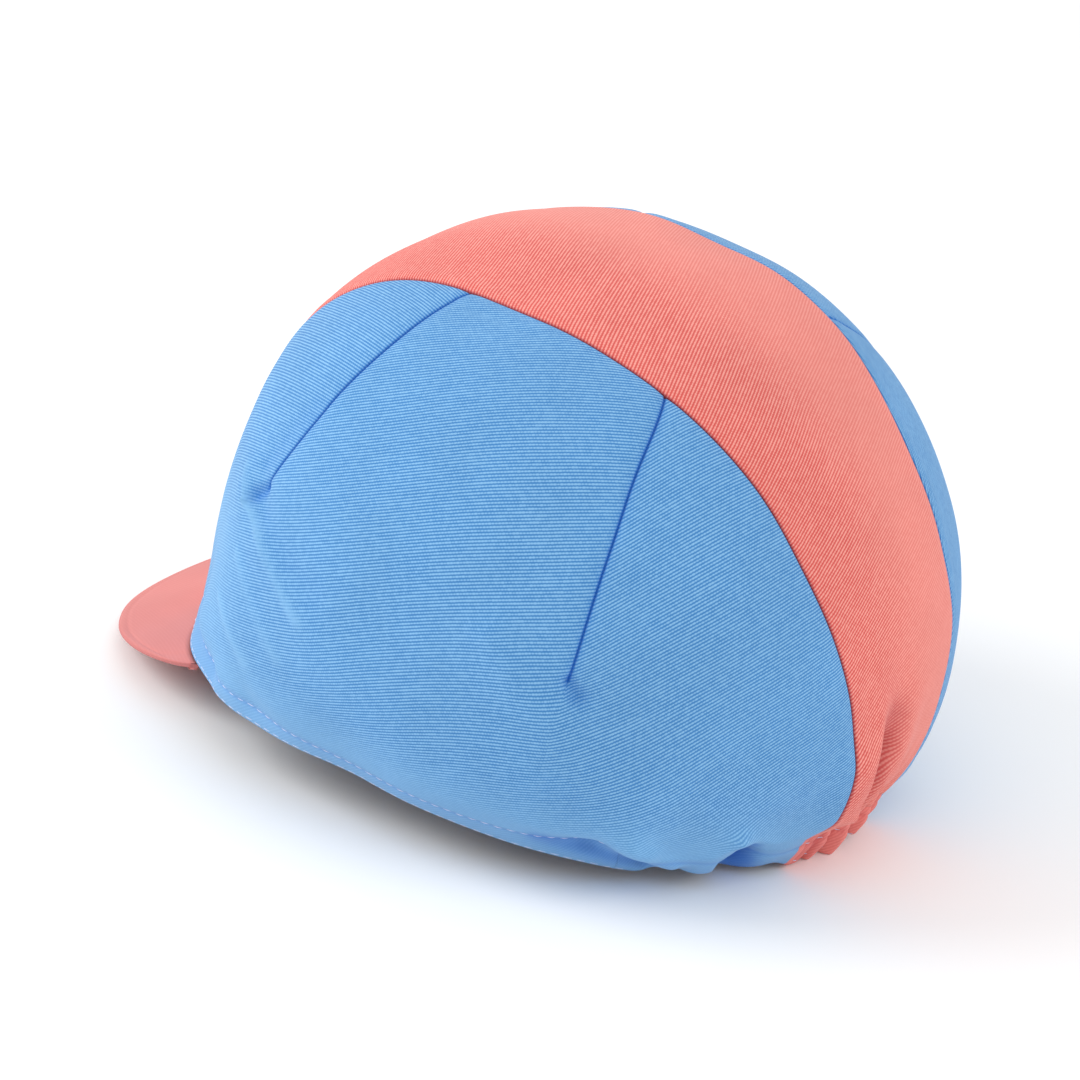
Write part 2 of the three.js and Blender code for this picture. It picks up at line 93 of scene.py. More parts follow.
# Limits between which a direction on the crown is looked for.
ELEVATION_LIMITS = (-85.0, 17.0)
FRONT_END_LIMITS = (-45.0, 10.0)
REAR_END_LIMITS = (215.0, 170.0)
MOST_ASIDE = 0.95


def table(columns, rows):
    """A table is a row of column names and then its rows."""
    return [dict(zip(columns, row)) for row in rows]


SWELLS = table(("name", "azimuth", "elevation", "share"), (
    ("front_top", -90, 52, 0.0167),
    ("front_middle", -90, 22, -0.0198),
    ("front_corner_high", -45, 45, 0.0174),
    ("front_corner_low", -48, 8, -0.0501),
    ("side_high", 0, 48, 0.0517),
    ("side_middle", 0, 12, 0.0009),
    ("rear_corner_high", 48, 45, 0.0199),
    ("rear_corner_low", 50, 5, 0.0107),
    ("rear_top", 90, 55, -0.0228),
    ("rear_middle", 90, 25, -0.0103),
    ("rear_low", 90, -5, 0.0395),
    ("top", 0, 89, -0.0093),
))

# Half width of the centre strip: 0 is straight ahead, 90 the top, 180 the rear.
STRIP_WIDTHS = table(("angle", "half_width"), (
    (-25, 28.1), (20, 26.6), (50, 32.6), (90, 38.3), (130, 33.6), (155, 28.5), (180, 20.5),
    (205, 18.1),
))
# The strip's right edge wanders from the left edge's path by this much.
RIGHT_EDGE = table(("angle", "added"), (
    (95, 0), (106, 1.7), (118, 2.1), (130, 0.2), (143, -2.6), (153, -1.8), (158, -0.8), (164, 2.2),
    (170, 4.9), (174, 4.7), (178, 2.8), (183, 0.9), (188, 0),
))

# Lines down a side panel, from the strip's seam to the hem. Their azimuths are where they meet the
# hem and at the shares of the way up in GUIDE_SHARES.
GUIDE_SHARES = {"low": 1 / 3, "high": 2 / 3, "upper": 5 / 6}
GUIDES = table(("name", "column", "hem", "low", "high", "upper", "seam_angle"), (
    ("front_corner", 0, -71.3, -71.3, -71.3, -71.3, -18.5),
    ("brow", 6, -60, -56, -53, -56, 48),
    ("front_dart", 11, -46.1, -36.1, -26.4, -24.3, 77.2),
    ("side", 15, -9, -3, 4, 7.3, 95),
    ("rear_dart", 19, 30, 32.7, 36.4, 40.0, 116.9),
    ("nape", 25, 55, 57, 61, 64.3, 146),
    ("rear_corner", 40, 78.4, 78.4, 78.4, 78.4, 196.8),
))
LAST_COLUMN = 40
SIDE_COLUMN = 15
DARTS = table(("name", "column", "tip_share"), (
    ("front_dart", 11, 0.44),
    ("rear_dart", 19, 0.4),
))

# Folds and dents: a ridge (plus) or groove (minus) along a line over the crown. Its crest is round
# where sharpness is 2 and sharper below. Shade is painted shade along it, which darkens the cloth's
# colour, or below 0 a painted highlight, which makes it paler and its weave smoother.
FOLD_COLUMNS = (
    "name", "side", "azimuth_a", "elevation_a", "azimuth_b", "elevation_b",
    "width_a", "width_b", "depth_a", "depth_b", "sharpness", "shade",
)
FOLDS = table(FOLD_COLUMNS, (
    ("front_tip_dimple", "both", -31, 14, -26, 4, 4, 6, -1.6, -0.6, 2, 0),
    ("front_tip_ridge", "both", -40, 14, -28, 10, 4, 4, 1.2, 1.0, 2, 0),
    ("front_streak", "both", -27, 10, -5, 0, 3.6, 4.5, 0.9, 0.4, 2, 0),
    ("front_corner_flare", "both", -54, -27, -50, -19, 8, 7, 3.6, 1.2, 2, 0),
    ("front_corner_hollow", "both", -56, -13, -50, 0, 6, 8, -2.9, -0.9, 2, 0),
    ("rear_tip_dimple", "both", 35, 10, 38, 2, 3.5, 6, -1.8, -0.8, 2, 0),
    ("rear_tip_ridge", "both", 21, 15, 38, -2, 4, 5, 1.2, 0.7, 2, 0),
    ("side_roll", "both", 12, -14, 46, -13.2, 4, 4.2, 0.4, 2.4, 2, 0),
    ("roll_end", "both", 47, -14.6, 55, -20, 2.6, 2.2, 2.2, 2.6, 2, 0),
    ("stitch_valley", "both", -25, -19, 42, -17.6, 3.6, 3.4, -2.0, -5.0, 2, 0),
    ("pocket_valley", "both", 43, -17.8, 53, -22, 2.4, 1.7, -2.4, -4.6, 2, 0),
    ("hem_notch", "both", 56.6, -28, 57, -22, 2.2, 2.4, -3.6, -2.0, 2, 0),
    ("first_lobe", "both", 62, -26, 60, -13, 3.4, 4.6, 2.2, 0.8, 2, 0),
    ("recess", "both", 67.6, -23.5, 67.0, -19, 2.2, 2.5, -3.0, -6.0, 2.4, 0.1),
    ("recess_top", "both", 67.0, -19, 66.2, -15.2, 2.5, 1.6, -6.0, -2.6, 2.4, 0.1),
    ("second_lobe", "both", 74.5, -25, 74, -15, 3.2, 3.4, 2.6, 1.4, 2, 0),
    ("rear_bulge", "left", 79.6, -10.5, 80.6, -3, 4.4, 5.0, 3.6, 3.0, 2, 0),
    ("strip_ridge", "left", 81.8, -24, 82.6, -12, 1.5, 1.7, 1.4, 1.8, 1.6, 0),
    ("strip_ridge_upper", "left", 82.6, -12, 84.0, 5, 1.7, 2.4, 1.8, 0.8, 1.6, 0),
    ("strip_valley", "left", 85.0, -15, 86.4, -3, 1.4, 2.3, -2.8, -4.6, 2, 0.3),
    ("strip_valley_upper", "left", 86.4, -3, 88.8, 7, 2.3, 3.4, -4.6, -0.8, 2, 0),
    ("strip_pouch", "left", 91.6, 3, 91.4, -8, 3.4, 3.0, 1.2, 1.8, 2, 0),
    ("strip_valley_right", "right", 86, -2, 85, -12, 4, 3, -1.0, -2.0, 2, 0),
    # Finer creases that only the dressed cap has. Rows of no depth are painted shadow only.
    ("recess_shadow", "both", 69.8, -23.5, 67.2, -15.6, 2.6, 1.3, 0, 0, 3, 0.75),
    ("pocket_shadow", "both", 34, -18.6, 53, -21.6, 2.0, 1.8, 0, 0, 2, 0.5),
    ("strip_valley_shadow", "left", 86.8, -7, 88.2, 3, 1.5, 2.4, 0, 0, 2, 0.4),
    ("front_tip_pit", "both", -32.4, 17.4, -34.8, 15.0, 1.1, 1.3, -1.3, -1.6, 2, 0.5),
    ("rear_tip_pit", "both", 33.2, 11.4, 35.2, 9.2, 0.9, 1.4, -1.2, -1.3, 2, 0.36),
    ("front_dart_dip", "both", -35.2, 20, -29.2, 33.5, 1.7, 2.0, -0.9, -0.4, 2, 0.12),
    # The streaks are lit ridges, with a painted highlight where the shade is below 0.
    ("front_streak_start", "both", -41.4, 17, -35.8, 13.2, 0.7, 0.7, 0.5, 0.9, 1.8, -1.2),
    ("front_streak_middle", "both", -35.8, 13.2, -28.2, 11.4, 0.7, 0.65, 0.9, 0.9, 1.8, -1.5),
    ("front_streak_edge", "both", -28.2, 11.4, -13.2, 3.8, 0.65, 0.9, 0.9, 0.5, 1.8, -1.5),
    ("front_streak_trough", "both", -32, 15, -12, 9, 1.8, 2.8, -0.5, -0.5, 2, 0.06),
    ("front_streak_core", "both", -33.5, 5, -17, -5, 0.8, 1.2, 0.5, 0.3, 1.8, -0.9),
    ("front_left_streak", "both", -37, -4.5, -25.5, -10.5, 0.8, 1.2, 0.6, 0.3, 1.8, -1.1),
    ("front_stitch_valley", "both", -58, -18.6, -40, -19, 2.6, 2.8, -2.6, -2.4, 2, 0.1),
    ("rear_streak", "both", 20, 15, 39, -3, 2.0, 2.6, 0.5, 0.35, 1.5, 0),
    ("rear_streak_trough", "both", 25, 16, 31, 9, 2.4, 2.6, -0.5, -0.3, 2, 0),
    ("roll_edge", "both", 22, -13.6, 50, -15.6, 2.0, 2.0, 0.1, 1.5, 2, 0),
    ("recess_brow", "left", 60.5, -16, 63, -12.2, 1.5, 1.6, 0.8, 1.5, 1.6, 0),
    ("recess_brow_end", "left", 63, -12.2, 70.5, -14.4, 1.6, 1.8, 1.5, 0.8, 1.6, 0),
))

# Slow waves of the cloth, the same on every run.
WAVES = table(("azimuth", "elevation", "wavelength", "phase", "depth"), (
    (12, 8, 46, 20, 0.20),
    (78, 31, 39, 140, 0.17),
    (141, -17, 33, 250, 0.15),
    (205, 52, 51, 75, 0.20),
    (262, 12, 29, 310, 0.11),
    (318, 40, 24, 195, 0.09),
))

# Ruffle tips that the elastic draws in the strip's hem, and how far each stands out.
PLEATS = table(("azimuth", "width", "reach"), (
    (80.6, 0.9, 1.6),
    (84.2, 0.9, 2.8),
    (88.4, 1.2, 4.8),
    (91.9, 0.8, 1.0),
    (95.0, 1.1, 4.0),
    (97.6, 0.8, 2.2),
    (99.8, 0.9, 2.8),
))
PLEAT_VALLEY = 2.2
PLEAT_SHAPE = 2.4
PLEAT_ENDS = 1.6
# Painted shade in the ruffle's valleys.
PAINTED_PLEAT_SHADE = 0.7
PLEAT_HEIGHTS = (-6, 0, 4, 8, 16, 30)
PLEAT_STRENGTHS = (1.15, 1.0, 0.85, 0.6, 0.3, 0.0)

# Directions of the twill's ribs in the flat pattern of a side panel, from its level line.
GRAIN_SHARES = (0, 0.1, 0.2, 0.35, 0.6, 1)
PANEL_GRAIN = (
    (0, (44, 45, 43, 36, 28, 28)),
    (7.5, (44, 45, 40, 30, 27, 28)),
    (10.9, (34, 36, 35, 32, 25, 28)),
    (11.1, (14, 22, 24, 36, 38, 42)),
    (12.0, (12, 20, 24, 36, 36, 40)),
    (13.5, (12, 20, 27, 39, 38, 45)),
    (15.0, (9, 29, 40, 39, 38, 49)),
    (16.5, (7, 29, 38, 36, 34, 43)),
    (18.9, (4, 26, 25, 24, 34, 42)),
    (19.1, (2, 24, 33, 48, 42, 40)),
    (21.0, (0, 26, 44, 51, 40, 37)),
    (24.0, (0, 36, 53, 48, 37, 36)),
    (27.0, (10, 44, 53, 46, 34, 33)),
    (30.0, (26, 58, 65, 51, 31, 34)),
    (33.0, (54, 78, 80, 67, 44, 41)),
    (36.0, (68, 84, 84, 75, 64, 60)),
    (40.0, (86, 90, 90, 86, 82, 78)),
)
# The same for the centre strip, from its length towards the wearer's left, at the right edge,
# the middle and the left edge.
STRIP_GRAIN = (
    (0.0, (73, 73, 74)),
    (0.35, (73, 73, 75)),
    (0.5, (73, 73, 75)),
    (0.57, (63, 67, 73)),
    (0.65, (57, 63, 72)),
    (0.75, (57, 66, 72)),
    (0.83, (64, 69, 71)),
    (0.88, (54, 66, 64)),
    (0.93, (32, 48, 38)),
    (1.0, (26, 37, 28)),
)

# The camera in the cap's own frame, where azimuth and elevation are the way from the cap to it.
CAMERA = {
    "azimuth": 29.148,
    "elevation": 26.427,
    "roll": 11.207,
    "distance": 1262.006,
    "target": (0.0, 0.0, 60.0),
    "aim_right": -9.506,
    "aim_up": -14.175,
    "lens": 170.787,
    "sensor_width": 36.0,
    "clip_end": 20.0,
}
# Each light's direction is towards the camera, up and to the right as the camera sees it. Its
# distance and size are in metres.
LIGHTS = table(("name", "direction", "distance", "size", "power"), (
    ("key_light", (0.3, 0.75, -1.0), 1.1, 0.7, 6.2),
    ("fill_light", (0.6, 0.35, 0.9), 1.2, 0.7, 3.0),
))
WORLD_STRENGTH = 0.88
FLOOR_REACH = 6.0
FLOOR_DROP = 0.0002


# Plain functions of numbers and directions.


def mix(a, b, share):
    return a + (b - a) * share


def smoothstep(value, low, high):
    t = np.clip((value - low) / (high - low), 0, 1)
    return t * t * (3 - 2 * t)


def bell(away, width, power=2):
    """A share that is 1 at no distance and falls off over a width."""
    return np.exp(-(np.abs(away / width) ** power))


def stack(*parts):
    return np.stack(np.broadcast_arrays(*parts), axis=-1)


def direction(azimuth, elevation):
    azimuth, elevation = np.radians(azimuth), np.radians(elevation)
    level = np.cos(elevation)
    return stack(np.cos(azimuth) * level, np.sin(azimuth) * level, np.sin(elevation))


def turned(x, y, angle):
    return stack(x * np.cos(angle) - y * np.sin(angle), x * np.sin(angle) + y * np.cos(angle))


def unit(vectors):
    return vectors / (np.linalg.norm(vectors, axis=-1, keepdims=True) + TINY)


def level_unit(vectors):
    return unit(vectors * np.array([1, 1, 0]))


def on_side(units, is_right):
    """What is drawn on the left, mirrored where it is for the right."""
    return units * np.array([-1, 1, 1]) if is_right else units


def on_left(units):
    return stack(np.abs(units[..., 0]), units[..., 1], units[..., 2])


def azimuth_of(units):
    return np.degrees(np.arctan2(units[..., 1], units[..., 0]))


def elevation_of(units):
    return np.degrees(np.arcsin(np.clip(units[..., 2], -1, 1)))


def hermite(places, values, at):
    """A smooth curve through values at places. The first axis of values runs along places."""
    places = np.asarray(places, float)
    values = np.asarray(values, float)
    at = np.asarray(at, float)
    slopes = np.gradient(values, places, axis=0)
    index = np.clip(np.searchsorted(places, at) - 1, 0, len(places) - 2)
    span = places[index + 1] - places[index]
    t = np.clip((at - places[index]) / span, 0, 1)
    shape = t.shape + (1,) * (values.ndim - 1)
    t, span = t.reshape(shape), span.reshape(shape)
    t2 = t * t
    t3 = t2 * t
    return (
        (2 * t3 - 3 * t2 + 1) * values[index]
        + (t3 - 2 * t2 + t) * span * slopes[index]
        + (3 * t2 - 2 * t3) * values[index + 1]
        + (t3 - t2) * span * slopes[index + 1]
    )


# The crown's shape, as in the part's source.


def dome_radius(units):
    x, y, z = units[..., 0], units[..., 1], units[..., 2]
    rear = smoothstep(y, -BLEND_SHARE, BLEND_SHARE)
    reach = mix(CROWN["front_reach"], CROWN["rear_reach"], rear)
    upright = mix(CROWN["front_exponent"], CROWN["rear_exponent"], rear)
    across = np.abs(x / CROWN["half_width"])
    lengthwise = np.abs(y / reach)
    exponent = CROWN["plan_exponent"]
    plan = (across**exponent + lengthwise**exponent) ** (1 / exponent)
    length_share = lengthwise**2 / (across**2 + lengthwise**2 + TINY)
    lower_end = np.where(y > 0, CROWN["lower_depth_rear"], CROWN["lower_depth_front"])
    lower = mix(CROWN["lower_depth_side"], lower_end, length_share)
    vertical = np.where(z > 0, CROWN["height"] - CROWN["centre_height"], lower)
    inverse = (plan**upright + np.abs(z / vertical) ** upright) ** (1 / upright)
    same_side = on_left(units)
    swell = 1.0
    for row in SWELLS:
        line = direction(row["azimuth"], row["elevation"])
        away = np.degrees(np.arccos(np.clip(same_side @ line, -1, 1)))
        swell = swell + row["share"] * bell(away, SWELL_WIDTH)
    return swell / inverse


def dome_point(units):
    return units * dome_radius(units)[..., None] + np.array([0, 0, CROWN["centre_height"]])


def dome_height(units):
    return dome_point(units)[..., 2]


def ridge_parts(units, row):
    """The depth of a ridge's line at its nearest point, and how much of it reaches each direction."""
    azimuths = np.array([row["azimuth_a"], row["azimuth_b"]])
    if row["side"] == "right":
        azimuths = 180 - azimuths
    start = direction(azimuths[0], row["elevation_a"])
    line = direction(azimuths[1], row["elevation_b"]) - start
    place = on_left(units) if row["side"] == "both" else units
    share = np.clip((place - start) @ line / (line @ line), 0, 1)
    away = np.degrees(np.linalg.norm(start + share[..., None] * line - place, axis=-1))
    width = mix(row["width_a"], row["width_b"], share)
    depth = mix(row["depth_a"], row["depth_b"], share)
    return depth, bell(away, width, row["sharpness"])


def ridge_depth(units, row):
    depth, reached = ridge_parts(units, row)
    return depth * reached


def fold_depth(units):
    return sum(ridge_depth(units, row) for row in FOLDS)


def fold_painted_light(units, sign=1):
    """Painted shade along the folds, or with a sign of -1 their painted highlight."""
    return sum(
        max(sign * row["shade"], 0) * ridge_parts(units, row)[1] for row in FOLDS if row["shade"]
    )


def wave_depth(points):
    total = np.zeros(points.shape[:-1])
    for row in WAVES:
        turn = points @ direction(row["azimuth"], row["elevation"]) / row["wavelength"]
        total = total + row["depth"] * np.sin(2 * math.pi * turn + math.radians(row["phase"]))
    return total


def pleat_reach(azimuth):
    """How far the ruffle stands out at an azimuth, less its valleys' depth."""
    out = sum(
        row["reach"] * bell(azimuth - row["azimuth"], row["width"], PLEAT_SHAPE)
        for row in PLEATS
    )
    first, last = PLEATS[0]["azimuth"], PLEATS[-1]["azimuth"]
    inside = smoothstep(azimuth, first - PLEAT_ENDS, first)
    inside = inside * smoothstep(-azimuth, -last - PLEAT_ENDS, -last)
    return (out - PLEAT_VALLEY) * inside


def pleat_depth(units, height):
    return pleat_reach(azimuth_of(units)) * np.interp(height, PLEAT_HEIGHTS, PLEAT_STRENGTHS)


def crown_point(units, extra=0.0, height=None):
    """Points of the dressed crown. Folds stand out level below the centre, as in the source."""
    outward = unit(stack(units[..., 0], units[..., 1], np.maximum(units[..., 2], 0)))
    points = dome_point(units)
    height = points[..., 2] if height is None else height
    relief = fold_depth(units) + wave_depth(points) + pleat_depth(units, height) + extra
    return points + outward * relief[..., None]


def dome_normal(units):
    slopes = []
    for axis in range(3):
        offset = np.zeros(3)
        offset[axis] = NORMAL_STEP
        levels = []
        for place in (units + offset, units - offset):
            length = np.linalg.norm(place, axis=-1)
            levels.append(length / dome_radius(place / length[..., None]))
        slopes.append(levels[0] - levels[1])
    return unit(np.stack(slopes, axis=-1))


def level_direction(azimuth, height):
    """The direction in which the dome passes a height, by halving."""
    azimuth, height = np.broadcast_arrays(np.asarray(azimuth, float), np.asarray(height, float))
    low, high = (np.full(azimuth.shape, limit) for limit in ELEVATION_LIMITS)
    for _ in range(HALVINGS):
        middle = (low + high) / 2
        below = dome_height(direction(azimuth, middle)) < height
        low, high = np.where(below, middle, low), np.where(below, high, middle)
    return direction(azimuth, low)


def strip_direction(angle, across):
    """The direction of a point on the strip, across millimetres from its middle line."""
    angle, across = np.broadcast_arrays(np.radians(angle), np.asarray(across, float))
    aside = across / CROWN["half_width"]
    for _ in range(SETTLING_STEPS):
        level = np.cos(aside)
        units = stack(np.sin(aside), -level * np.cos(angle), level * np.sin(angle))
        aside = np.arcsin(np.clip(across / dome_radius(units), -MOST_ASIDE, MOST_ASIDE))
    return units


def along(rows, place, value, at):
    """A smooth curve through one column of a table."""
    return hermite([row[place] for row in rows], [row[value] for row in rows], at)


def strip_half_width(angle, side="left"):
    width = along(STRIP_WIDTHS, "angle", "half_width", angle)
    if side == "right":
        width = width + along(RIGHT_EDGE, "angle", "added", angle)
    return width


def strip_side_width(angle, across):
    """The half width on the side where a point across from the middle line lies."""
    return np.where(across < 0, strip_half_width(angle, "right"), strip_half_width(angle))


def strip_angle_of(units):
    angle = np.degrees(np.arctan2(units[..., 2], -units[..., 1]))
    return np.where(angle < -90, angle + 360, angle)


def strip_angle_at(height, width_share, limits):
    """The angle near one end of the strip at which a share of its half width passes a height."""
    before, after = (np.full(width_share.shape, limit) for limit in limits)
    for _ in range(HALVINGS):
        middle = (before + after) / 2
        across = width_share * (strip_half_width(middle) - GAP / 2)
        below = dome_height(strip_direction(middle, across)) < height
        before, after = np.where(below, middle, before), np.where(below, after, middle)
    return before


def guide(value, place):
    return along(GUIDES, "column", value, place)


def seam_share(place):
    first, last = guide("seam_angle", 0.0), guide("seam_angle", float(LAST_COLUMN))
    return (guide("seam_angle", place) - first) / (last - first)


def seam_point(place, offset, side="left"):
    angle = mix(SEAM_FRONT, SEAM_REAR, seam_share(place))
    return strip_direction(angle, strip_half_width(angle, side) + offset)


def panel_directions(places, shares, side="left"):
    """A panel's points, drawn on the left: a column at each place, a row at each share."""
    first, last = GUIDES[0]["hem"], GUIDES[-1]["hem"]
    ends = azimuth_of(seam_point(np.array([0.0, LAST_COLUMN]), GAP / 2))

    def fit(azimuth):
        return mix(ends[0], ends[1], (azimuth - first) / (last - first))

    seam = seam_point(places, GAP / 2, side)
    shift = azimuth_of(seam) - azimuth_of(seam_point(places, GAP / 2))
    foot = level_direction(fit(guide("hem", places)), HEM_HEIGHT)
    lines = [azimuth_of(foot)]
    lines += [fit(guide(name, places)) + shift * share for name, share in GUIDE_SHARES.items()]
    lines += [azimuth_of(seam)]
    azimuth = hermite((0, *GUIDE_SHARES.values(), 1), lines, shares).T
    elevation = mix(elevation_of(foot)[:, None], elevation_of(seam)[:, None], shares[None, :])
    return direction(azimuth, elevation)


def strip_directions(shares, places):
    """Directions of the strip's points: a column at each share of its width."""
    width_share = np.abs(shares)
    front = strip_angle_at(HEM_HEIGHT, width_share, FRONT_END_LIMITS)[:, None]
    rear = strip_angle_at(HEM_HEIGHT, width_share, REAR_END_LIMITS)[:, None]
    foot = strip_angle_at(0.0, width_share, FRONT_END_LIMITS)[:, None]
    apron = mix(foot, front, np.linspace(0, 1, APRON_ROWS + 1)[None, :-1])
    angles = np.concatenate([apron, mix(front, rear, seam_share(places)[None, :])], axis=1)
    half = strip_side_width(angles, shares[:, None])
    return strip_direction(angles, shares[:, None] * (half - GAP / 2))


def stand(points, is_pressed=True):
    """From the cap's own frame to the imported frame, still in millimetres."""
    tilt = math.radians(TILT)
    x, y, z = points[..., 0], points[..., 1], points[..., 2]
    height = z * math.cos(tilt) - y * math.sin(tilt) - FLOOR
    if is_pressed:
        height = np.maximum(height, 0)
    return stack(x, y * math.cos(tilt) + z * math.sin(tilt) - MIDDLE_Y, height)


# Flat patterns, which the weave follows.

FLATTENING_STEPS = 120
# Below these a column counts as a point, and a triangle as no thinner and no looser.
POINTED = 0.01
LEAST_SQUARE = 1e-9
LEAST_AREA = 1e-6
LEAST_PULL = 1e-3


class FlatPattern:
    """A grid of points laid flat, keeping its lengths as well as it can. Each cut is a column and
    the row from which it is open. Left and right number the flat places seen from both sides."""

    def __init__(self, points, start, cuts):
        columns, rows = points.shape[:2]
        left = np.arange(columns * rows).reshape(columns, rows)
        right = left.copy()
        for end in (0, columns - 1):
            if np.ptp(points[end], axis=0).max() < POINTED:
                left[end] = right[end] = left[end, 0]
        places, guesses = [points.reshape(-1, 3)], [start.reshape(-1, 2)]
        count = columns * rows
        for column, row in cuts:
            right[column, row:] = count + np.arange(rows - row)
            count += rows - row
            places.append(points[column, row:])
            guesses.append(start[column, row:])
        a, b, c, d = right[:-1, :-1], left[1:, :-1], left[1:, 1:], right[:-1, 1:]
        corners = np.concatenate([stack(a, b, c).reshape(-1, 3), stack(a, c, d).reshape(-1, 3)])
        cells = np.tile(np.indices(a.shape).reshape(2, -1).T, (2, 1))
        whole = (corners != np.roll(corners, 1, axis=1)).all(axis=1)
        used = np.unique(corners[whole])
        new = np.zeros(count, int)
        new[used] = np.arange(len(used))
        self.corners, self.cells = new[corners[whole]], cells[whole]
        self.left, self.right = new[left], new[right]
        self.flat = np.vstack(guesses)[used]
        self.measure(np.vstack(places)[used])
        for _ in range(FLATTENING_STEPS):
            self.flat = self.settle(self.turned_sides())

    def measure(self, places):
        """Each triangle laid flat by itself, and how hard its sides pull on their corners."""
        first = places[self.corners[:, 1]] - places[self.corners[:, 0]]
        second = places[self.corners[:, 2]] - places[self.corners[:, 0]]
        length = np.linalg.norm(first, axis=1)
        ahead = (second * first).sum(1) / length
        aside = np.sqrt(np.maximum((second**2).sum(1) - ahead**2, LEAST_SQUARE))
        self.own = np.zeros((len(self.corners), 3, 2))
        self.own[:, 1, 0], self.own[:, 2, 0], self.own[:, 2, 1] = length, ahead, aside
        links = np.zeros((len(places), len(places)))
        self.pulls = []
        for k in range(3):
            p = self.own[:, k] - self.own[:, (k + 2) % 3]
            q = self.own[:, (k + 1) % 3] - self.own[:, (k + 2) % 3]
            area = np.maximum(np.abs(p[:, 0] * q[:, 1] - p[:, 1] * q[:, 0]), LEAST_AREA)
            pull = np.clip((p * q).sum(1) / 2 / area, LEAST_PULL, None)
            self.pulls.append(pull)
            i, j = self.corners[:, k], self.corners[:, (k + 1) % 3]
            for m, n, sign in ((i, j, -1), (j, i, -1), (i, i, 1), (j, j, 1)):
                np.add.at(links, (m, n), sign * pull)
        links[0, :] = links[:, 0] = 0
        links[0, 0] = 1
        self.inverse = np.linalg.inv(links)

    def sides_of(self, values):
        return [values[self.corners[:, (k + 1) % 3]] - values[self.corners[:, k]] for k in range(3)]

    def settle(self, differences):
        """Values whose differences along the triangles' sides are as near as can be to these."""
        sums = np.zeros((len(self.inverse),) + differences[0].shape[1:])
        for k, (pull, difference) in enumerate(zip(self.pulls, differences)):
            pulled = pull.reshape((-1,) + (1,) * (difference.ndim - 1)) * difference
            np.add.at(sums, self.corners[:, (k + 1) % 3], pulled)
            np.add.at(sums, self.corners[:, k], -pulled)
        sums[0] = 0
        return self.inverse @ sums

    def turned_sides(self):
        """The sides of each triangle's own flat shape, turned to lie as it lies in the pattern."""
        own = [self.own[:, (k + 1) % 3] - self.own[:, k] for k in range(3)]
        spin = sum(
            pull[:, None, None] * there[:, :, None] * here[:, None, :]
            for pull, there, here in zip(self.pulls, self.sides_of(self.flat), own)
        )
        turn = np.arctan2(spin[:, 1, 0] - spin[:, 0, 1], spin[:, 0, 0] + spin[:, 1, 1])
        return [turned(here[:, 0], here[:, 1], turn) for here in own]

    def weave(self, rib_angles):
        """Millimetres along and across the ribs, on both sides of each column."""
        turn = -np.radians(rib_angles)
        sides = [turned(side[:, 0], side[:, 1], turn) for side in self.sides_of(self.flat)]
        values = self.settle(sides)
        return values[self.left], values[self.right]


def finer(left, right, breaks, coarse_columns, coarse_rows, columns, rows):
    """The weave's grid at a finer set of columns and rows, one smooth stretch between breaks."""
    fine_left = np.zeros((len(columns), len(rows), 2))
    fine_right = fine_left.copy()
    for start, end in zip(breaks[:-1], breaks[1:]):
        inside = (coarse_columns >= start) & (coarse_columns <= end)
        values = left[inside].copy()
        values[0] = right[inside][0]
        wanted = (columns >= start) & (columns <= end)
        spread = hermite(coarse_columns[inside], values, columns[wanted])
        spread = np.swapaxes(hermite(coarse_rows, np.swapaxes(spread, 0, 1), rows), 0, 1)
        from_right = wanted & (columns < end) | (wanted & (columns == breaks[-1]))
        from_left = wanted & (columns > start) | (wanted & (columns == breaks[0]))
        fine_right[from_right] = spread[from_right[wanted]]
        fine_left[from_left] = spread[from_left[wanted]]
    return fine_left, fine_right


# Meshes.


KEY_DIGITS = 3
# The most painted shade, or faintness with painted highlight, that a point carries.
SHADE_MOST = 1.6
BUNCHING_STEPS = 4001


def add_object(name, data):
    made = bpy.data.objects.new(name, data)
    bpy.context.scene.collection.objects.link(made)
    return made


def add_mesh(name, points, faces, weave, shades, is_smooth):
    """One mesh from quads. Corners that fall together are dropped, so grids may run to a point."""
    keys = np.round(points, KEY_DIGITS)
    _, first, same = np.unique(keys, axis=0, return_index=True, return_inverse=True)
    faces = same.reshape(-1)[faces]
    kept = faces != np.roll(faces, 1, axis=1)
    whole = kept.sum(1) >= 3
    faces, kept, weave, is_smooth = faces[whole], kept[whole], weave[whole], is_smooth[whole]
    mesh = bpy.data.meshes.new(name)
    places = (stand(points[first]) / METRE).astype(np.float32)
    mesh.from_pydata(places, [], [face[keep].tolist() for face, keep in zip(faces, kept)])
    mesh.polygons.foreach_set("use_smooth", is_smooth)
    layer = mesh.uv_layers.new(name="weave")
    layer.data.foreach_set("uv", weave[kept].astype(np.float32).ravel())
    mesh.validate()
    for label, values in shades.items():
        shade = mesh.attributes.new(label, "FLOAT", "POINT")
        shade.data.foreach_set("value", values[first].astype(np.float32))
    return add_object(name, mesh)


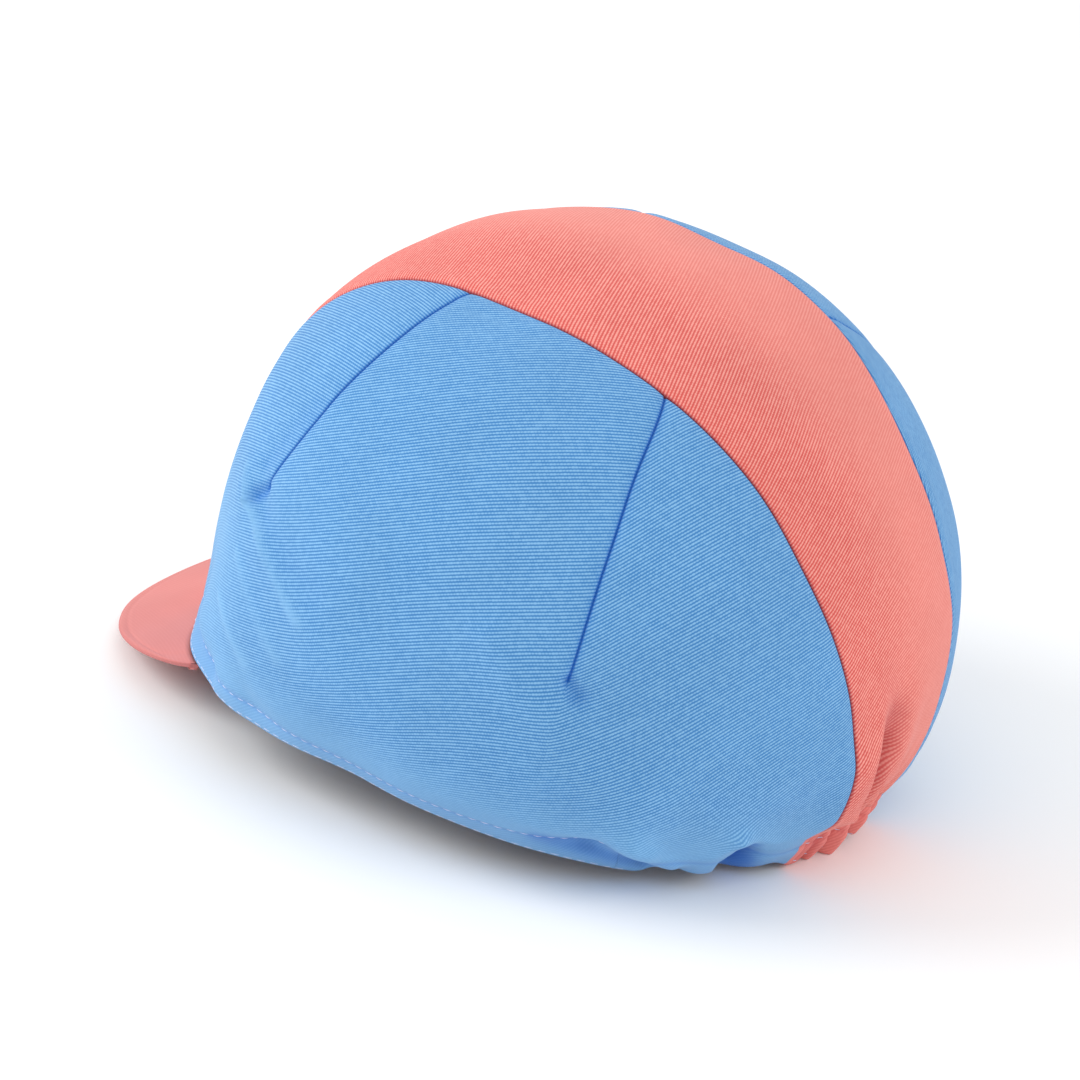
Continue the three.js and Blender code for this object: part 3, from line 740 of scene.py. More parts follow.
def shell_mesh(name, outer, inner, weave_left, weave_right, shades, is_mirrored=False):
    """A closed body between two grids. The weave may differ on the two sides of a column. Its
    narrow walls are shaded flat, so that they don't bend the light on the cloth beside them."""
    columns, rows = outer.shape[:2]
    points = np.concatenate([outer.reshape(-1, 3), inner.reshape(-1, 3)])
    grid = np.arange(columns * rows).reshape(columns, rows)
    under = grid + columns * rows
    low, high = slice(None, -1), slice(1, None)
    a, b, c, d = (low, low), (high, low), (high, high), (low, high)
    faces, weaves, smooth = [], [], []

    def add_faces(ids, weave, is_smooth, is_flipped=False):
        order = -1 if is_flipped else 1
        faces.append(np.stack([i.reshape(-1) for i in ids[::order]], axis=1))
        weaves.append(np.stack([w.reshape(-1, 2) for w in weave[::order]], axis=1))
        smooth.append(np.full(len(faces[-1]), is_smooth))

    spots = [weave_right[a], weave_left[b], weave_left[c], weave_right[d]]
    add_faces([grid[a], grid[b], grid[c], grid[d]], spots, True)
    spots = [weave_right[a], weave_right[d], weave_left[c], weave_left[b]]
    add_faces([under[a], under[d], under[c], under[b]], spots, True)
    for row, is_flipped in ((0, False), (-1, True)):
        ids = [grid[:-1, row], under[:-1, row], under[1:, row], grid[1:, row]]
        spots = [weave_right[:-1, row]] * 2 + [weave_left[1:, row]] * 2
        add_faces(ids, spots, False, is_flipped)
    for column, is_flipped in ((0, False), (-1, True)):
        ids = [grid[column, :-1], grid[column, 1:], under[column, 1:], under[column, :-1]]
        spots = [weave_left[column, :-1], weave_left[column, 1:]]
        add_faces(ids, spots + spots[::-1], False, is_flipped)
    faces, weaves = np.concatenate(faces), np.concatenate(weaves)
    if is_mirrored:
        faces, weaves = faces[:, ::-1], weaves[:, ::-1]
    twice = {
        label: np.tile(np.clip(values, 0, SHADE_MOST).reshape(-1), 2)
        for label, values in shades.items()
    }
    return add_mesh(name, points, faces, weaves, twice, np.concatenate(smooth))


def roll(distance, width):
    """How far a rounded edge falls away, as a share, at a distance from it."""
    t = 1 - np.clip(distance / width, 0, 1)
    return 1 - np.sqrt(np.maximum(1 - t * t, 0))


def bunched(dense, count, spread, crowding):
    """Places from 0 to 1 in a smooth row that lie closer together near the dense ones."""
    fine = np.linspace(0, 1, BUNCHING_STEPS)
    density = 1 + sum(crowding * bell(fine - spot, spread) for spot in dense)
    total = np.cumsum(density)
    total = (total - total[0]) / (total[-1] - total[0])
    return np.interp(np.linspace(0, 1, count + 1), total, fine)


# The crown's pieces.

APRON_ROWS = 8
APRON_STEP = 0.5
GRAIN_TURN = {"hem": 38, "ruffle": 62, "peak": 52}
PATTERN_CENTRE = (5, 25)
PANEL_COLUMNS = {"count": 330, "spread": 0.004, "crowding": 9.0}
PANEL_ROWS = {"count": 130, "spread": 0.016, "crowding": 5.0}
STRIP_COLUMNS = {"count": 96, "spread": 0.02, "crowding": 5.0}
STRIP_PLACES = 320
COARSE_STEP = 1.0
COARSE_ROWS = 20
COARSE_STRIP = {"columns": 12, "places": 60}
DART_FADE = 0.01
DART_GROOVE = {"depth": 0.7, "half_width": 0.32}
DART_VALLEY = {"depth": 0.35, "half_width": 2.0}
# Painted shade along each dart's line: a dark narrow line and a soft wider shade.
PAINTED_DART_SHADES = ({"share": 0.9, "half_width": 0.38}, {"share": 0.22, "half_width": 1.5})
# At the seams the edges roll in; shade and darkness are the width and strength of painted shade
# there.
PANEL_EDGE = {"dip": 0.7, "roll": 0.9, "shade": 0.3, "darkness": 0.8}
STRIP_EDGE = {"dip": 1.1, "roll": 1.1, "shade": 0.5, "darkness": 0.9}
PUFF = {"height": 0.22, "place": 3.2, "width": 1.8}
FAINT_TOP = 26
FAINT_FRONT = (-48, -22)
FAINT_FRONT_HEIGHTS = (34, 62)
FAINT_FRONT_SHARE = 0.9
STRIP_FAINT = {"share": 0.9, "from": -14, "to": 14}
LEAST_SLOPE = 0.05


def seam_distance(across, half_width, normal):
    """Millimetres over the surface from points beside a seam to it."""
    slope = np.sqrt(np.maximum(1 - normal[..., 0] ** 2, LEAST_SLOPE))
    return np.abs(np.abs(across) - half_width) / slope


def edge_relief(away, edge):
    puff = PUFF["height"] * bell(away - PUFF["place"], PUFF["width"])
    return puff - edge["dip"] * roll(away, edge["roll"])


# Painted shade along a seam or edge, darkest at it.
def painted_edge_shade(away, edge):
    return edge["darkness"] * bell(away, edge["shade"])


def crown_sheet(units, normal, away, edge, thickness, relief):
    """The outer and inner grids of a piece of the crown, thinner where its edge rolls in."""
    wall = thickness - edge["dip"] * roll(away, edge["roll"])
    return crown_point(units, relief), crown_point(units) - normal * wall[..., None]


def faintness(units, height):
    """The weave shows less near the hem, where the cloth is doubled and pressed, at the front
    corners and on the strip's far side."""
    low = 1 - smoothstep(height, HEM_HEIGHT, FAINT_TOP)
    azimuth = azimuth_of(on_left(units))
    corner = (1 - smoothstep(azimuth, *FAINT_FRONT)) * (1 - smoothstep(height, *FAINT_FRONT_HEIGHTS))
    return np.maximum(low, FAINT_FRONT_SHARE * corner)


def grain_at(rows, places):
    """A table's rib directions at these places, one row for each of its columns."""
    angles = np.array([row[1] for row in rows], float)
    return np.stack([np.interp(places, [row[0] for row in rows], column) for column in angles.T])


def panel_weave(side, places, shares):
    """The weave of a side panel, cut along its darts. The twill's sense is the same on both."""
    coarse_places = np.arange(0, LAST_COLUMN + COARSE_STEP / 2, COARSE_STEP)
    coarse_shares = np.linspace(0, 1, COARSE_ROWS + 1)
    units = panel_directions(coarse_places, coarse_shares, side)
    centre = direction(*PATTERN_CENTRE)
    level = unit(np.cross((0, 0, 1.0), centre))
    up = np.cross(centre, level)
    away = np.arccos(np.clip(units @ centre, -1, 1))
    aim = unit(stack(units @ level, units @ up))
    cuts = [
        (int(dart["column"] / COARSE_STEP), int(round(dart["tip_share"] * COARSE_ROWS)))
        for dart in DARTS
    ]
    pattern = FlatPattern(dome_point(units), aim * (away * CROWN["half_width"])[..., None], cuts)
    line = pattern.flat[pattern.left[int(SIDE_COLUMN / COARSE_STEP)]]
    rise = line[-1] - line[0]
    level_line = math.degrees(math.atan2(rise[1], rise[0])) - 90
    place = COARSE_STEP * (pattern.cells[:, 0] + 0.5)
    share = (pattern.cells[:, 1] + 0.5) / COARSE_ROWS
    by_place = grain_at(PANEL_GRAIN, place)
    angle = np.array([np.interp(s, GRAIN_SHARES, by_place[:, k]) for k, s in enumerate(share)])
    if side == "right":
        angle = 180 - angle
    left, right = pattern.weave(angle + level_line)
    breaks = [0] + [dart["column"] for dart in DARTS] + [LAST_COLUMN]
    return finer(left, right, breaks, coarse_places, coarse_shares, places, shares)


def dart_distance(points, places, dart):
    """Distance of each point of the panel's grid from a dart's line, in millimetres."""
    line = points[np.argmin(np.abs(places - dart["column"]))]
    ahead = unit(np.gradient(line, axis=0))
    away = points - line[None]
    away = away - (away * ahead[None]).sum(-1)[..., None] * ahead[None]
    return np.linalg.norm(away, axis=-1)


def make_panel(side):
    is_right = side == "right"
    darts = [dart["column"] / LAST_COLUMN for dart in DARTS]
    places = bunched(darts, **PANEL_COLUMNS) * LAST_COLUMN
    for dart in DARTS:
        places[np.argmin(np.abs(places - dart["column"]))] = dart["column"]
    shares = bunched((0, 1), **PANEL_ROWS)
    units = panel_directions(places, shares, side)
    dome = dome_point(units)
    normal = dome_normal(units)
    to_seam = seam_distance(dome[..., 0], strip_half_width(strip_angle_of(units), side), normal)
    relief = edge_relief(to_seam, PANEL_EDGE)
    # Painted shade along the seam, then along the darts.
    painted_shade = painted_edge_shade(to_seam, PANEL_EDGE)
    for dart in DARTS:
        tip = dart["tip_share"]
        is_open = smoothstep(shares, tip - DART_FADE, tip + DART_FADE)[None, :]
        away = dart_distance(dome, places, dart)
        for mark in (DART_GROOVE, DART_VALLEY):
            relief = relief - mark["depth"] * is_open * bell(away, mark["half_width"])
        # Painted shade along the open dart.
        for mark in PAINTED_DART_SHADES:
            painted_shade = painted_shade + mark["share"] * is_open * bell(away, mark["half_width"])
    shown, normal = on_side(units, is_right), on_side(normal, is_right)
    sheets = crown_sheet(shown, normal, to_seam, PANEL_EDGE, PANEL_THICKNESS, relief)
    # Painted shade of seams, darts and folds, and the faint weave with painted highlight along the
    # lit streaks.
    shades = {
        "painted_shade": painted_shade + fold_painted_light(shown),
        "faint_and_highlight": faintness(units, dome[..., 2]) + fold_painted_light(shown, -1),
    }
    weaves = panel_weave(side, places, shares)
    return shell_mesh(f"crown_panel_{side}", *sheets, *weaves, shades, is_right)


def strip_weave(places, shares):
    coarse_shares = np.linspace(-1, 1, COARSE_STRIP["columns"] + 1)
    coarse_places = np.linspace(0, LAST_COLUMN, COARSE_STRIP["places"] + 1)
    coarse = strip_directions(coarse_shares, coarse_places)
    points = dome_point(coarse)
    start = stack(points[..., 0], np.radians(strip_angle_of(coarse)) * CROWN["rear_reach"])
    pattern = FlatPattern(points, start, [])
    column, row = pattern.cells.T
    ahead = pattern.flat[pattern.left[column, row + 1]] - pattern.flat[pattern.left[column, row]]
    length_line = np.degrees(np.arctan2(ahead[:, 1], ahead[:, 0]))
    share_along = np.clip((row + 0.5 - APRON_ROWS) / COARSE_STRIP["places"], 0, 1)
    share_along = seam_share(share_along * LAST_COLUMN)
    across = coarse_shares[column] + 1 / COARSE_STRIP["columns"]
    right, middle, left = grain_at(STRIP_GRAIN, share_along)
    angle = np.where(across < 0, mix(right, middle, across + 1), mix(middle, left, across))
    left, right = pattern.weave(length_line - angle)
    apron = np.arange(-APRON_ROWS, 0) * APRON_STEP
    coarse_rows, rows = (np.concatenate([apron, along_it]) for along_it in (coarse_places, places))
    return finer(left, right, [-1, 1], coarse_shares, coarse_rows, shares, rows)


def make_strip():
    shares = 2 * bunched((0, 1), **STRIP_COLUMNS) - 1
    places = np.linspace(0, LAST_COLUMN, STRIP_PLACES + 1)
    units = strip_directions(shares, places)
    dome = dome_point(units)
    normal = dome_normal(units)
    half = strip_side_width(strip_angle_of(units), dome[..., 0])
    to_seam = seam_distance(dome[..., 0], half, normal)
    relief = edge_relief(to_seam, STRIP_EDGE)
    sheets = crown_sheet(units, normal, to_seam, STRIP_EDGE, STRIP_THICKNESS, relief)
    far_side = smoothstep(-dome[..., 0], STRIP_FAINT["from"], STRIP_FAINT["to"])
    low = faintness(units, dome[..., 2])
    # Painted shade along the seams and folds.
    shades = {
        "painted_shade": painted_edge_shade(to_seam, STRIP_EDGE) + fold_painted_light(units),
        "faint_and_highlight": np.maximum(low, STRIP_FAINT["share"] * far_side),
    }
    return shell_mesh("crown_strip", *sheets, *strip_weave(places, shares), shades)


# The hem's bands.

HEM_ROWS = {"count": 26, "spread": 0.1, "crowding": 1.5}
HEM_COLUMNS = 300
CASING_COLUMNS = {"side": 150, "centre": 280}
EDGE_STITCH_RISE = 1.2
BAND_GAP = 0.03
LOWER_EDGE = table(("azimuth", "height"), (
    (-72, 0), (38, 0), (42, -0.5), (46, -1.2), (50, -1.9), (53, -1.8), (55, -0.4), (57.2, 0.9),
    (60, 0.2), (63, -0.2), (66, -1.6), (69, -2.2), (72, -1.6), (75, -0.2), (78.2, -1.8),
    (80.6, -3.6), (82.4, -2.4), (84.2, -3.8), (86.4, -1.6), (88.4, -4.2), (90.0, -3.0), (91.6, 1.0),
    (93.2, 0.6), (95.0, -1.8), (96.5, -0.4), (97.6, -1.6), (98.7, -0.8), (99.8, -2.6),
    (101.8, -1.8), (105, -0.2), (117, 0.2), (122.8, 0.9), (127, -1.8), (130, -1.9), (134, -1.2),
    (138, 0), (252, 0),
))
STITCH_LINE = table(("azimuth", "height"), (
    (-72, 6.8), (-40, 6.4), (-20, 6.5), (5, 6.9), (50, 7.0), (70, 5.6), (80, 5.4), (100, 5.4),
    (110, 5.6), (252, 6.8),
))
# The stitched groove; its shade is painted shade in it.
STITCH_GROOVE = {"depth": 0.25, "half_width": 0.6, "shade": 0.25}
EDGE_ROUNDING = {"depth": 0.95, "width": 1.1}
FULLNESS = {"height": 0.2, "place": 3.4, "width": 1.8}


def casing_share(azimuth):
    return smoothstep(np.minimum(azimuth, 180 - azimuth), *CASING_RAMP)


def band_height(azimuth, share):
    """The dome height of a band's row. Its lower edge wanders, and the ruffle's tips hang low."""
    return mix(along(LOWER_EDGE, "azimuth", "height", azimuth), HEM_HEIGHT, share)


def stitch_height(azimuth):
    return along(STITCH_LINE, "azimuth", "height", azimuth)


def edge_stitch_height(azimuth):
    return band_height(azimuth, 0) + EDGE_STITCH_RISE


def low_stitch_height(azimuth):
    return stitch_height(azimuth) - RUFFLE_STITCH_SPACING


def band_relief(azimuth, height):
    """How far a band stands out beside the folds: its flare, fullness and stitched groove."""
    share = np.clip(height / HEM_HEIGHT, -1, 1)
    flare = CASING_FLARE * casing_share(azimuth) * (1 - share)
    groove = bell(height - stitch_height(azimuth), STITCH_GROOVE["half_width"])
    fullness = bell(height - FULLNESS["place"], FULLNESS["width"])
    return flare - STITCH_GROOVE["depth"] * groove + FULLNESS["height"] * fullness


def band_point(azimuth, height, is_right=False):
    """A point of a band's surface and the directions that it was drawn from."""
    units = on_side(level_direction(azimuth, height), is_right)
    return crown_point(units, band_relief(azimuth, height), height), units


def run_along(line):
    """Millimetres along a line of points from its start."""
    return np.concatenate([[0], np.cumsum(np.linalg.norm(np.diff(line, axis=0), axis=1))])


def make_band(name, start, end, columns, is_right=False, is_centre=False):
    inset = math.degrees(BAND_GAP / 2 / CROWN["half_width"])
    azimuth = np.linspace(start + inset, end - inset, columns + 1)[:, None]
    shares = bunched((0, 1), **HEM_ROWS)[None, :]
    height = band_height(azimuth, shares)
    azimuth = azimuth + 0 * height
    surface, shown = band_point(azimuth, height, is_right)
    rounding = EDGE_ROUNDING["depth"] * roll(height - height[:, :1], EDGE_ROUNDING["width"])
    normal = level_unit(dome_normal(shown))
    outer = surface - normal * rounding[..., None]
    inner = surface - normal * (HEM_THICKNESS - rounding)[..., None]
    grain = math.radians(GRAIN_TURN["ruffle" if is_centre else "hem"])
    weave = turned(run_along(outer[:, -1])[:, None], height, -grain)
    # Painted shade in the stitched groove and along the folds.
    groove = bell(height - stitch_height(azimuth), STITCH_GROOVE["half_width"])
    painted_shade = STITCH_GROOVE["shade"] * groove + fold_painted_light(shown)
    # The ruffle's valleys get painted shade too.
    if is_centre:
        painted_shade = painted_shade + PAINTED_PLEAT_SHADE * np.clip(-pleat_reach(azimuth) / PLEAT_VALLEY, 0, 1)
    shades = {"painted_shade": painted_shade, "faint_and_highlight": np.ones(height.shape)}
    return shell_mesh(name, outer, inner, weave, weave, shades, is_right)


# Stitches, each a small bent bar that dips into the cloth at both ends.

STITCH_RADIUS = 0.12
STITCH_LIFT = 0.35
STITCH_DIP = 1.2
STITCH_INSET = 0.7
HEM_STITCH = {"pitch": 3.2, "length": 3.1}
RUFFLE_STITCH = {"pitch": 4.4, "length": 2.4}
RUFFLE_STITCH_SPACING = 6.4
STITCH_RINGS = (-1.0, -0.8, -0.4, 0.0, 0.4, 0.8, 1.0)
STITCH_SIDES = 6
STITCH_END_QUADS = np.array([[0, 1, 2, 3], [0, 3, 4, 5]])
STITCH_TAPER = {"share": 0.97, "thinnest": 0.03}
STITCH_WANDER = {"reach": 0.09, "turn": 2.3}
STITCH_LINE_STEPS = 400
HEM_STITCH_END = 50


def stitch_row(start, end, height_at, is_right, pitch, length):
    """Starts, middles, ends and outward normals of stitches along a band, evenly spaced."""
    fine = np.linspace(start, end, STITCH_LINE_STEPS)
    run = run_along(band_point(fine, height_at(fine))[0])
    count = int(run[-1] // pitch)
    middles = (np.arange(count) + 0.5) * run[-1] / count
    spots = np.stack([middles - length / 2, middles, middles + length / 2])
    azimuth = np.interp(spots, run, fine)
    wander = STITCH_WANDER["reach"] * np.sin(STITCH_WANDER["turn"] * np.arange(count))
    points, units = band_point(azimuth, height_at(azimuth) + wander[None, :], is_right)
    return points, dome_normal(units[1])


def add_stitches(name, rows):
    points, faces = [], []
    count = 0
    ring = 2 * math.pi * np.arange(STITCH_SIDES) / STITCH_SIDES
    for spots, normal in rows:
        for first, middle, last, up in zip(*spots, normal):
            ahead = unit(last - first)
            side = unit(np.cross(up, ahead))
            up = np.cross(ahead, side)
            for place in STITCH_RINGS:
                bend = 1 - place**2
                centre = mix(first, last, (place + 1) / 2) * (1 - bend) + middle * bend
                centre = centre + up * STITCH_RADIUS * (STITCH_LIFT - STITCH_DIP * abs(place) ** 3)
                taper = max(1 - (place * STITCH_TAPER["share"]) ** 4, STITCH_TAPER["thinnest"])
                size = STITCH_RADIUS * math.sqrt(taper)
                round_it = np.cos(ring)[:, None] * side + np.sin(ring)[:, None] * up
                points.append(centre + size * round_it)
            base = count + np.arange(len(STITCH_RINGS) * STITCH_SIDES).reshape(-1, STITCH_SIDES)
            after = np.roll(base, -1, axis=1)
            faces.append(stack(base[:-1], after[:-1], after[1:], base[1:]).reshape(-1, 4))
            for end in (base[0, ::-1], base[-1]):
                faces.append(end[STITCH_END_QUADS])
            count += base.size
    points, faces = np.concatenate(points), np.concatenate(faces)
    spin = np.tile(np.arange(4)[None, :, None] / 4, (len(faces), 1, 2))
    return add_mesh(name, points, faces, spin, {}, np.ones(len(faces), bool))


# The peak.

PEAK_COLUMNS = 160
PEAK_ROWS = 48
PEAK_ROW_CROWDING = 0.8
# The peak's rolled rim; shade and darkness are the width and strength of painted shade along it.
PEAK_EDGE = {"roll": 1.3, "depth": 0.8, "under_share": 0.8, "shade": 0.8, "darkness": 0.4}
PEAK_SIDE = {"share": 0.9, "least": 0.4}
PEAK_THINNING = 6.0
PEAK_STITCHING = {"depth": 0.18, "place": 3.2, "half_width": 0.7}
PEAK_RIPPLE = {"depth": 0.18, "across": 11, "turn_across": 0.9, "ahead": 15, "turn_ahead": 0.4}
PEAK_FINE_RIPPLE = {"depth": 0.12, "length": 6.5}
RIPPLE_FADE = 3.0
RIM_AZIMUTHS = (-90, -10, 801)
RIM_STEP = 1


def rim_point(azimuth):
    """The hem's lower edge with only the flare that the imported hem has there."""
    units = level_direction(azimuth, 0.0)
    outward = level_unit(units)
    points = dome_point(units)
    flare = next(row for row in FOLDS if row["name"] == "front_corner_flare")
    return points + outward * ridge_depth(units, flare)[..., None]


def front_rim_at(x):
    rim = rim_point(np.linspace(*RIM_AZIMUTHS))
    y = np.interp(np.abs(x), rim[:, 0], rim[:, 1])
    return stack(x, y, np.full(x.shape, -GAP))


def rim_normal(x):
    left, right = front_rim_at(x - RIM_STEP), front_rim_at(x + RIM_STEP)
    return unit(stack(right[:, 1] - left[:, 1], left[:, 0] - right[:, 0], 0 * x))


def peak_sheet():
    """The peak's plain upper surface, and how far its points are from the front and nearest edge."""
    turn = np.radians(np.linspace(-90, 90, PEAK_COLUMNS + 1))
    share = np.sin(turn)
    root = front_rim_at(PEAK["half_width"] * share)
    reach = PEAK["length"] * np.maximum(np.cos(turn), 0) ** (2 / PEAK["outline_exponent"])
    reach = np.maximum(reach, GAP)[:, None]
    slope = np.radians(PEAK["slope"] + PEAK["side_droop"] * share**2)[:, None]
    tongue = root - level_unit(root) * PEAK["tongue"]
    ahead = rim_normal(PEAK["half_width"] * share) * PEAK["splay"]
    ahead[:, 1] -= 1 - PEAK["splay"]
    parts = np.linspace(0, 1, PEAK_ROWS) ** PEAK_ROW_CROWDING
    length = parts[None, :] * reach
    sheet = root[:, None] + (length * np.cos(slope))[..., None] * unit(ahead)[:, None]
    sheet[..., 2] = root[:, None, 2] - length * np.sin(slope)
    sheet = np.concatenate([tongue[:, None], sheet], axis=1)
    to_front = (1 - np.concatenate([[0], parts]))[None, :] * reach
    to_side = PEAK_SIDE["share"] * PEAK["half_width"] * (1 - np.abs(share)) + PEAK_SIDE["least"]
    return sheet, to_front, np.minimum(to_front, to_side[:, None])


def peak_ripple(x, y):
    across = np.sin(x / PEAK_RIPPLE["across"] + PEAK_RIPPLE["turn_across"])
    ahead = np.sin(y / PEAK_RIPPLE["ahead"] + PEAK_RIPPLE["turn_ahead"])
    fine = PEAK_FINE_RIPPLE["depth"] * np.sin((x + y) / PEAK_FINE_RIPPLE["length"])
    return PEAK_RIPPLE["depth"] * across * ahead + fine


def make_peak():
    sheet, to_front, to_edge = peak_sheet()
    normal = unit(np.cross(np.gradient(sheet, axis=1), np.gradient(sheet, axis=0)))
    normal = np.where(normal[..., 2:] < 0, -normal, normal)
    x, y = sheet[..., 0], sheet[..., 1]
    ripple = peak_ripple(x, y) * smoothstep(to_front, 0.0, RIPPLE_FADE)
    stitching = bell(to_edge - PEAK_STITCHING["place"], PEAK_STITCHING["half_width"])
    rounding = PEAK_EDGE["depth"] * roll(to_edge, PEAK_EDGE["roll"])
    relief = ripple - rounding - PEAK_STITCHING["depth"] * stitching
    thin = smoothstep(-to_front, -PEAK_THINNING, 0.0)
    thickness = mix(PEAK["thickness"], PEAK["edge_thickness"], thin)
    wall = thickness - rounding * PEAK_EDGE["under_share"] - ripple
    weave = turned(x, y, -math.radians(GRAIN_TURN["peak"]))
    # Painted shade along the peak's rolled rim.
    shades = {"painted_shade": painted_edge_shade(to_edge, PEAK_EDGE), "faint_and_highlight": np.ones(to_edge.shape)}
    top, bottom = sheet + normal * relief[..., None], sheet - normal * wall[..., None]
    return shell_mesh("peak_cloth", top, bottom, weave, weave, shades)


# Materials.

PITCH = 0.76
RIB_DRIFT = {"scale": 0.22, "reach": 0.1}
RIB_MIDDLE = 0.5
RIB_RAMP = (0.1, 0.8)
BEAD = {"length": 1.05, "slide": 0.37, "share": 0.4}
YARN_SHARE = 0.24
STREAK = {"stretch": 0.06, "share": 0.3}
STREAK_NOISE = {"scale": 1.0, "detail": 1.0}
# How much faint weave and painted highlight flatten the ribs and lighten the colour.
FAINT_SHARE = 0.6
FAINT_AND_HIGHLIGHT_LIFT = 0.2
# How strongly, and at most how far, the painted shade darkens the colour.
PAINTED_SHADE_SHARE = 0.85
PAINTED_SHADE_MOST = 0.9
CLOUD = {"scale": 38.0, "detail": 3.0, "roughness": 0.55}
CLOUD_TONES = (0.25, 0.75, 0.965, 1.03)
FUZZ = {"scale": 2600.0, "detail": 2.0, "roughness": 0.6}
FUZZ_SHARE = 0.35
TWILL_RELIEF = {"strength": 0.6, "distance": 0.1}
TWILL_SHADER = {
    "Roughness": 0.92, "Specular IOR Level": 0.18, "Sheen Weight": 0.1, "Sheen Roughness": 0.6,
}
SPUN = {"scale": 1800.0, "detail": 2.0, "roughness": 0.6}
TWIST = {"scale": 3.0, "share": 0.2}
SPUN_RAMP = (0.35, 0.8)
THREAD_RELIEF = {"strength": 0.4, "distance": 0.08}
THREAD_SHADER = {"Roughness": 0.8, "Specular IOR Level": 0.25}
FLOOR_NOISE = 0.7
FLOOR_TONES = (0.3, 0.7, 0.95, 0.96)
FLOOR_SHADER = {"Roughness": 1.0, "Specular IOR Level": 0.0}


def linear(rgb):
    """From 0 to 255 picture values to the renderer's linear ones, by the sRGB formula."""
    values = np.array(rgb, float) / 255
    values = np.where(values <= 0.04045, values / 12.92, ((values + 0.055) / 1.055) ** 2.4)
    return (*values, 1.0)


class Nodes:
    """Short calls for one material's nodes."""

    def __init__(self, name):
        self.material = bpy.data.materials.new(name)
        self.material.use_nodes = True
        self.tree = self.material.node_tree
        self.shader = self.tree.nodes["Principled BSDF"].inputs

    def node(self, kind, *values, **settings):
        """A node with these values or links in its first inputs."""
        made = self.tree.nodes.new(kind)
        for key, value in settings.items():
            setattr(made, key, value)
        for socket, value in zip(made.inputs, values):
            self.put(socket, value)
        return made

    def put(self, socket, value):
        if isinstance(value, bpy.types.NodeSocket):
            self.tree.links.new(value, socket)
        else:
            socket.default_value = value

    def math(self, operation, *values):
        return self.node("ShaderNodeMath", *values, operation=operation).outputs[0]

    def scaled(self, value, share, added):
        return self.math("MULTIPLY_ADD", value, share, added)

    def wave(self, place):
        """Between 0 and 1, and 1 wherever the place is a whole number."""
        turn = self.math("MULTIPLY", place, 2 * math.pi)
        return self.scaled(self.math("COSINE", turn), 0.5, 0.5)

    def ramp(self, value, *limits):
        made = self.node("ShaderNodeMapRange", value, *limits, interpolation_type="SMOOTHSTEP")
        return made.outputs[0]

    def noise(self, vector, scale, detail=2.0, roughness=0.5):
        made = self.node("ShaderNodeTexNoise", vector)
        made.inputs["Scale"].default_value = scale
        made.inputs["Detail"].default_value = detail
        made.inputs["Roughness"].default_value = roughness
        return made.outputs[0]

    def blend(self, share, a, b, blend_type="MIX"):
        made = self.node("ShaderNodeMix", share, data_type="RGBA", blend_type=blend_type)
        self.put(made.inputs[6], a)
        self.put(made.inputs[7], b)
        return made.outputs[2]

    def joined(self, x, y, z=0.0):
        return self.node("ShaderNodeCombineXYZ", x, y, z).outputs[0]

    def attribute(self, name):
        return self.node("ShaderNodeAttribute", attribute_name=name).outputs["Fac"]

    def weave(self):
        return self.node("ShaderNodeUVMap", uv_map="weave").outputs[0]

    def body(self):
        return self.node("ShaderNodeTexCoord").outputs["Object"]

    def finish(self, colour, settings):
        self.put(self.shader["Base Color"], colour)
        for name, value in settings.items():
            self.shader[name].default_value = value
        return self.material

    def bump(self, strength, distance, height):
        made = self.node("ShaderNodeBump", strength)
        made.inputs["Distance"].default_value = distance / METRE
        self.put(made.inputs["Height"], height)
        self.put(self.shader["Normal"], made.outputs[0])


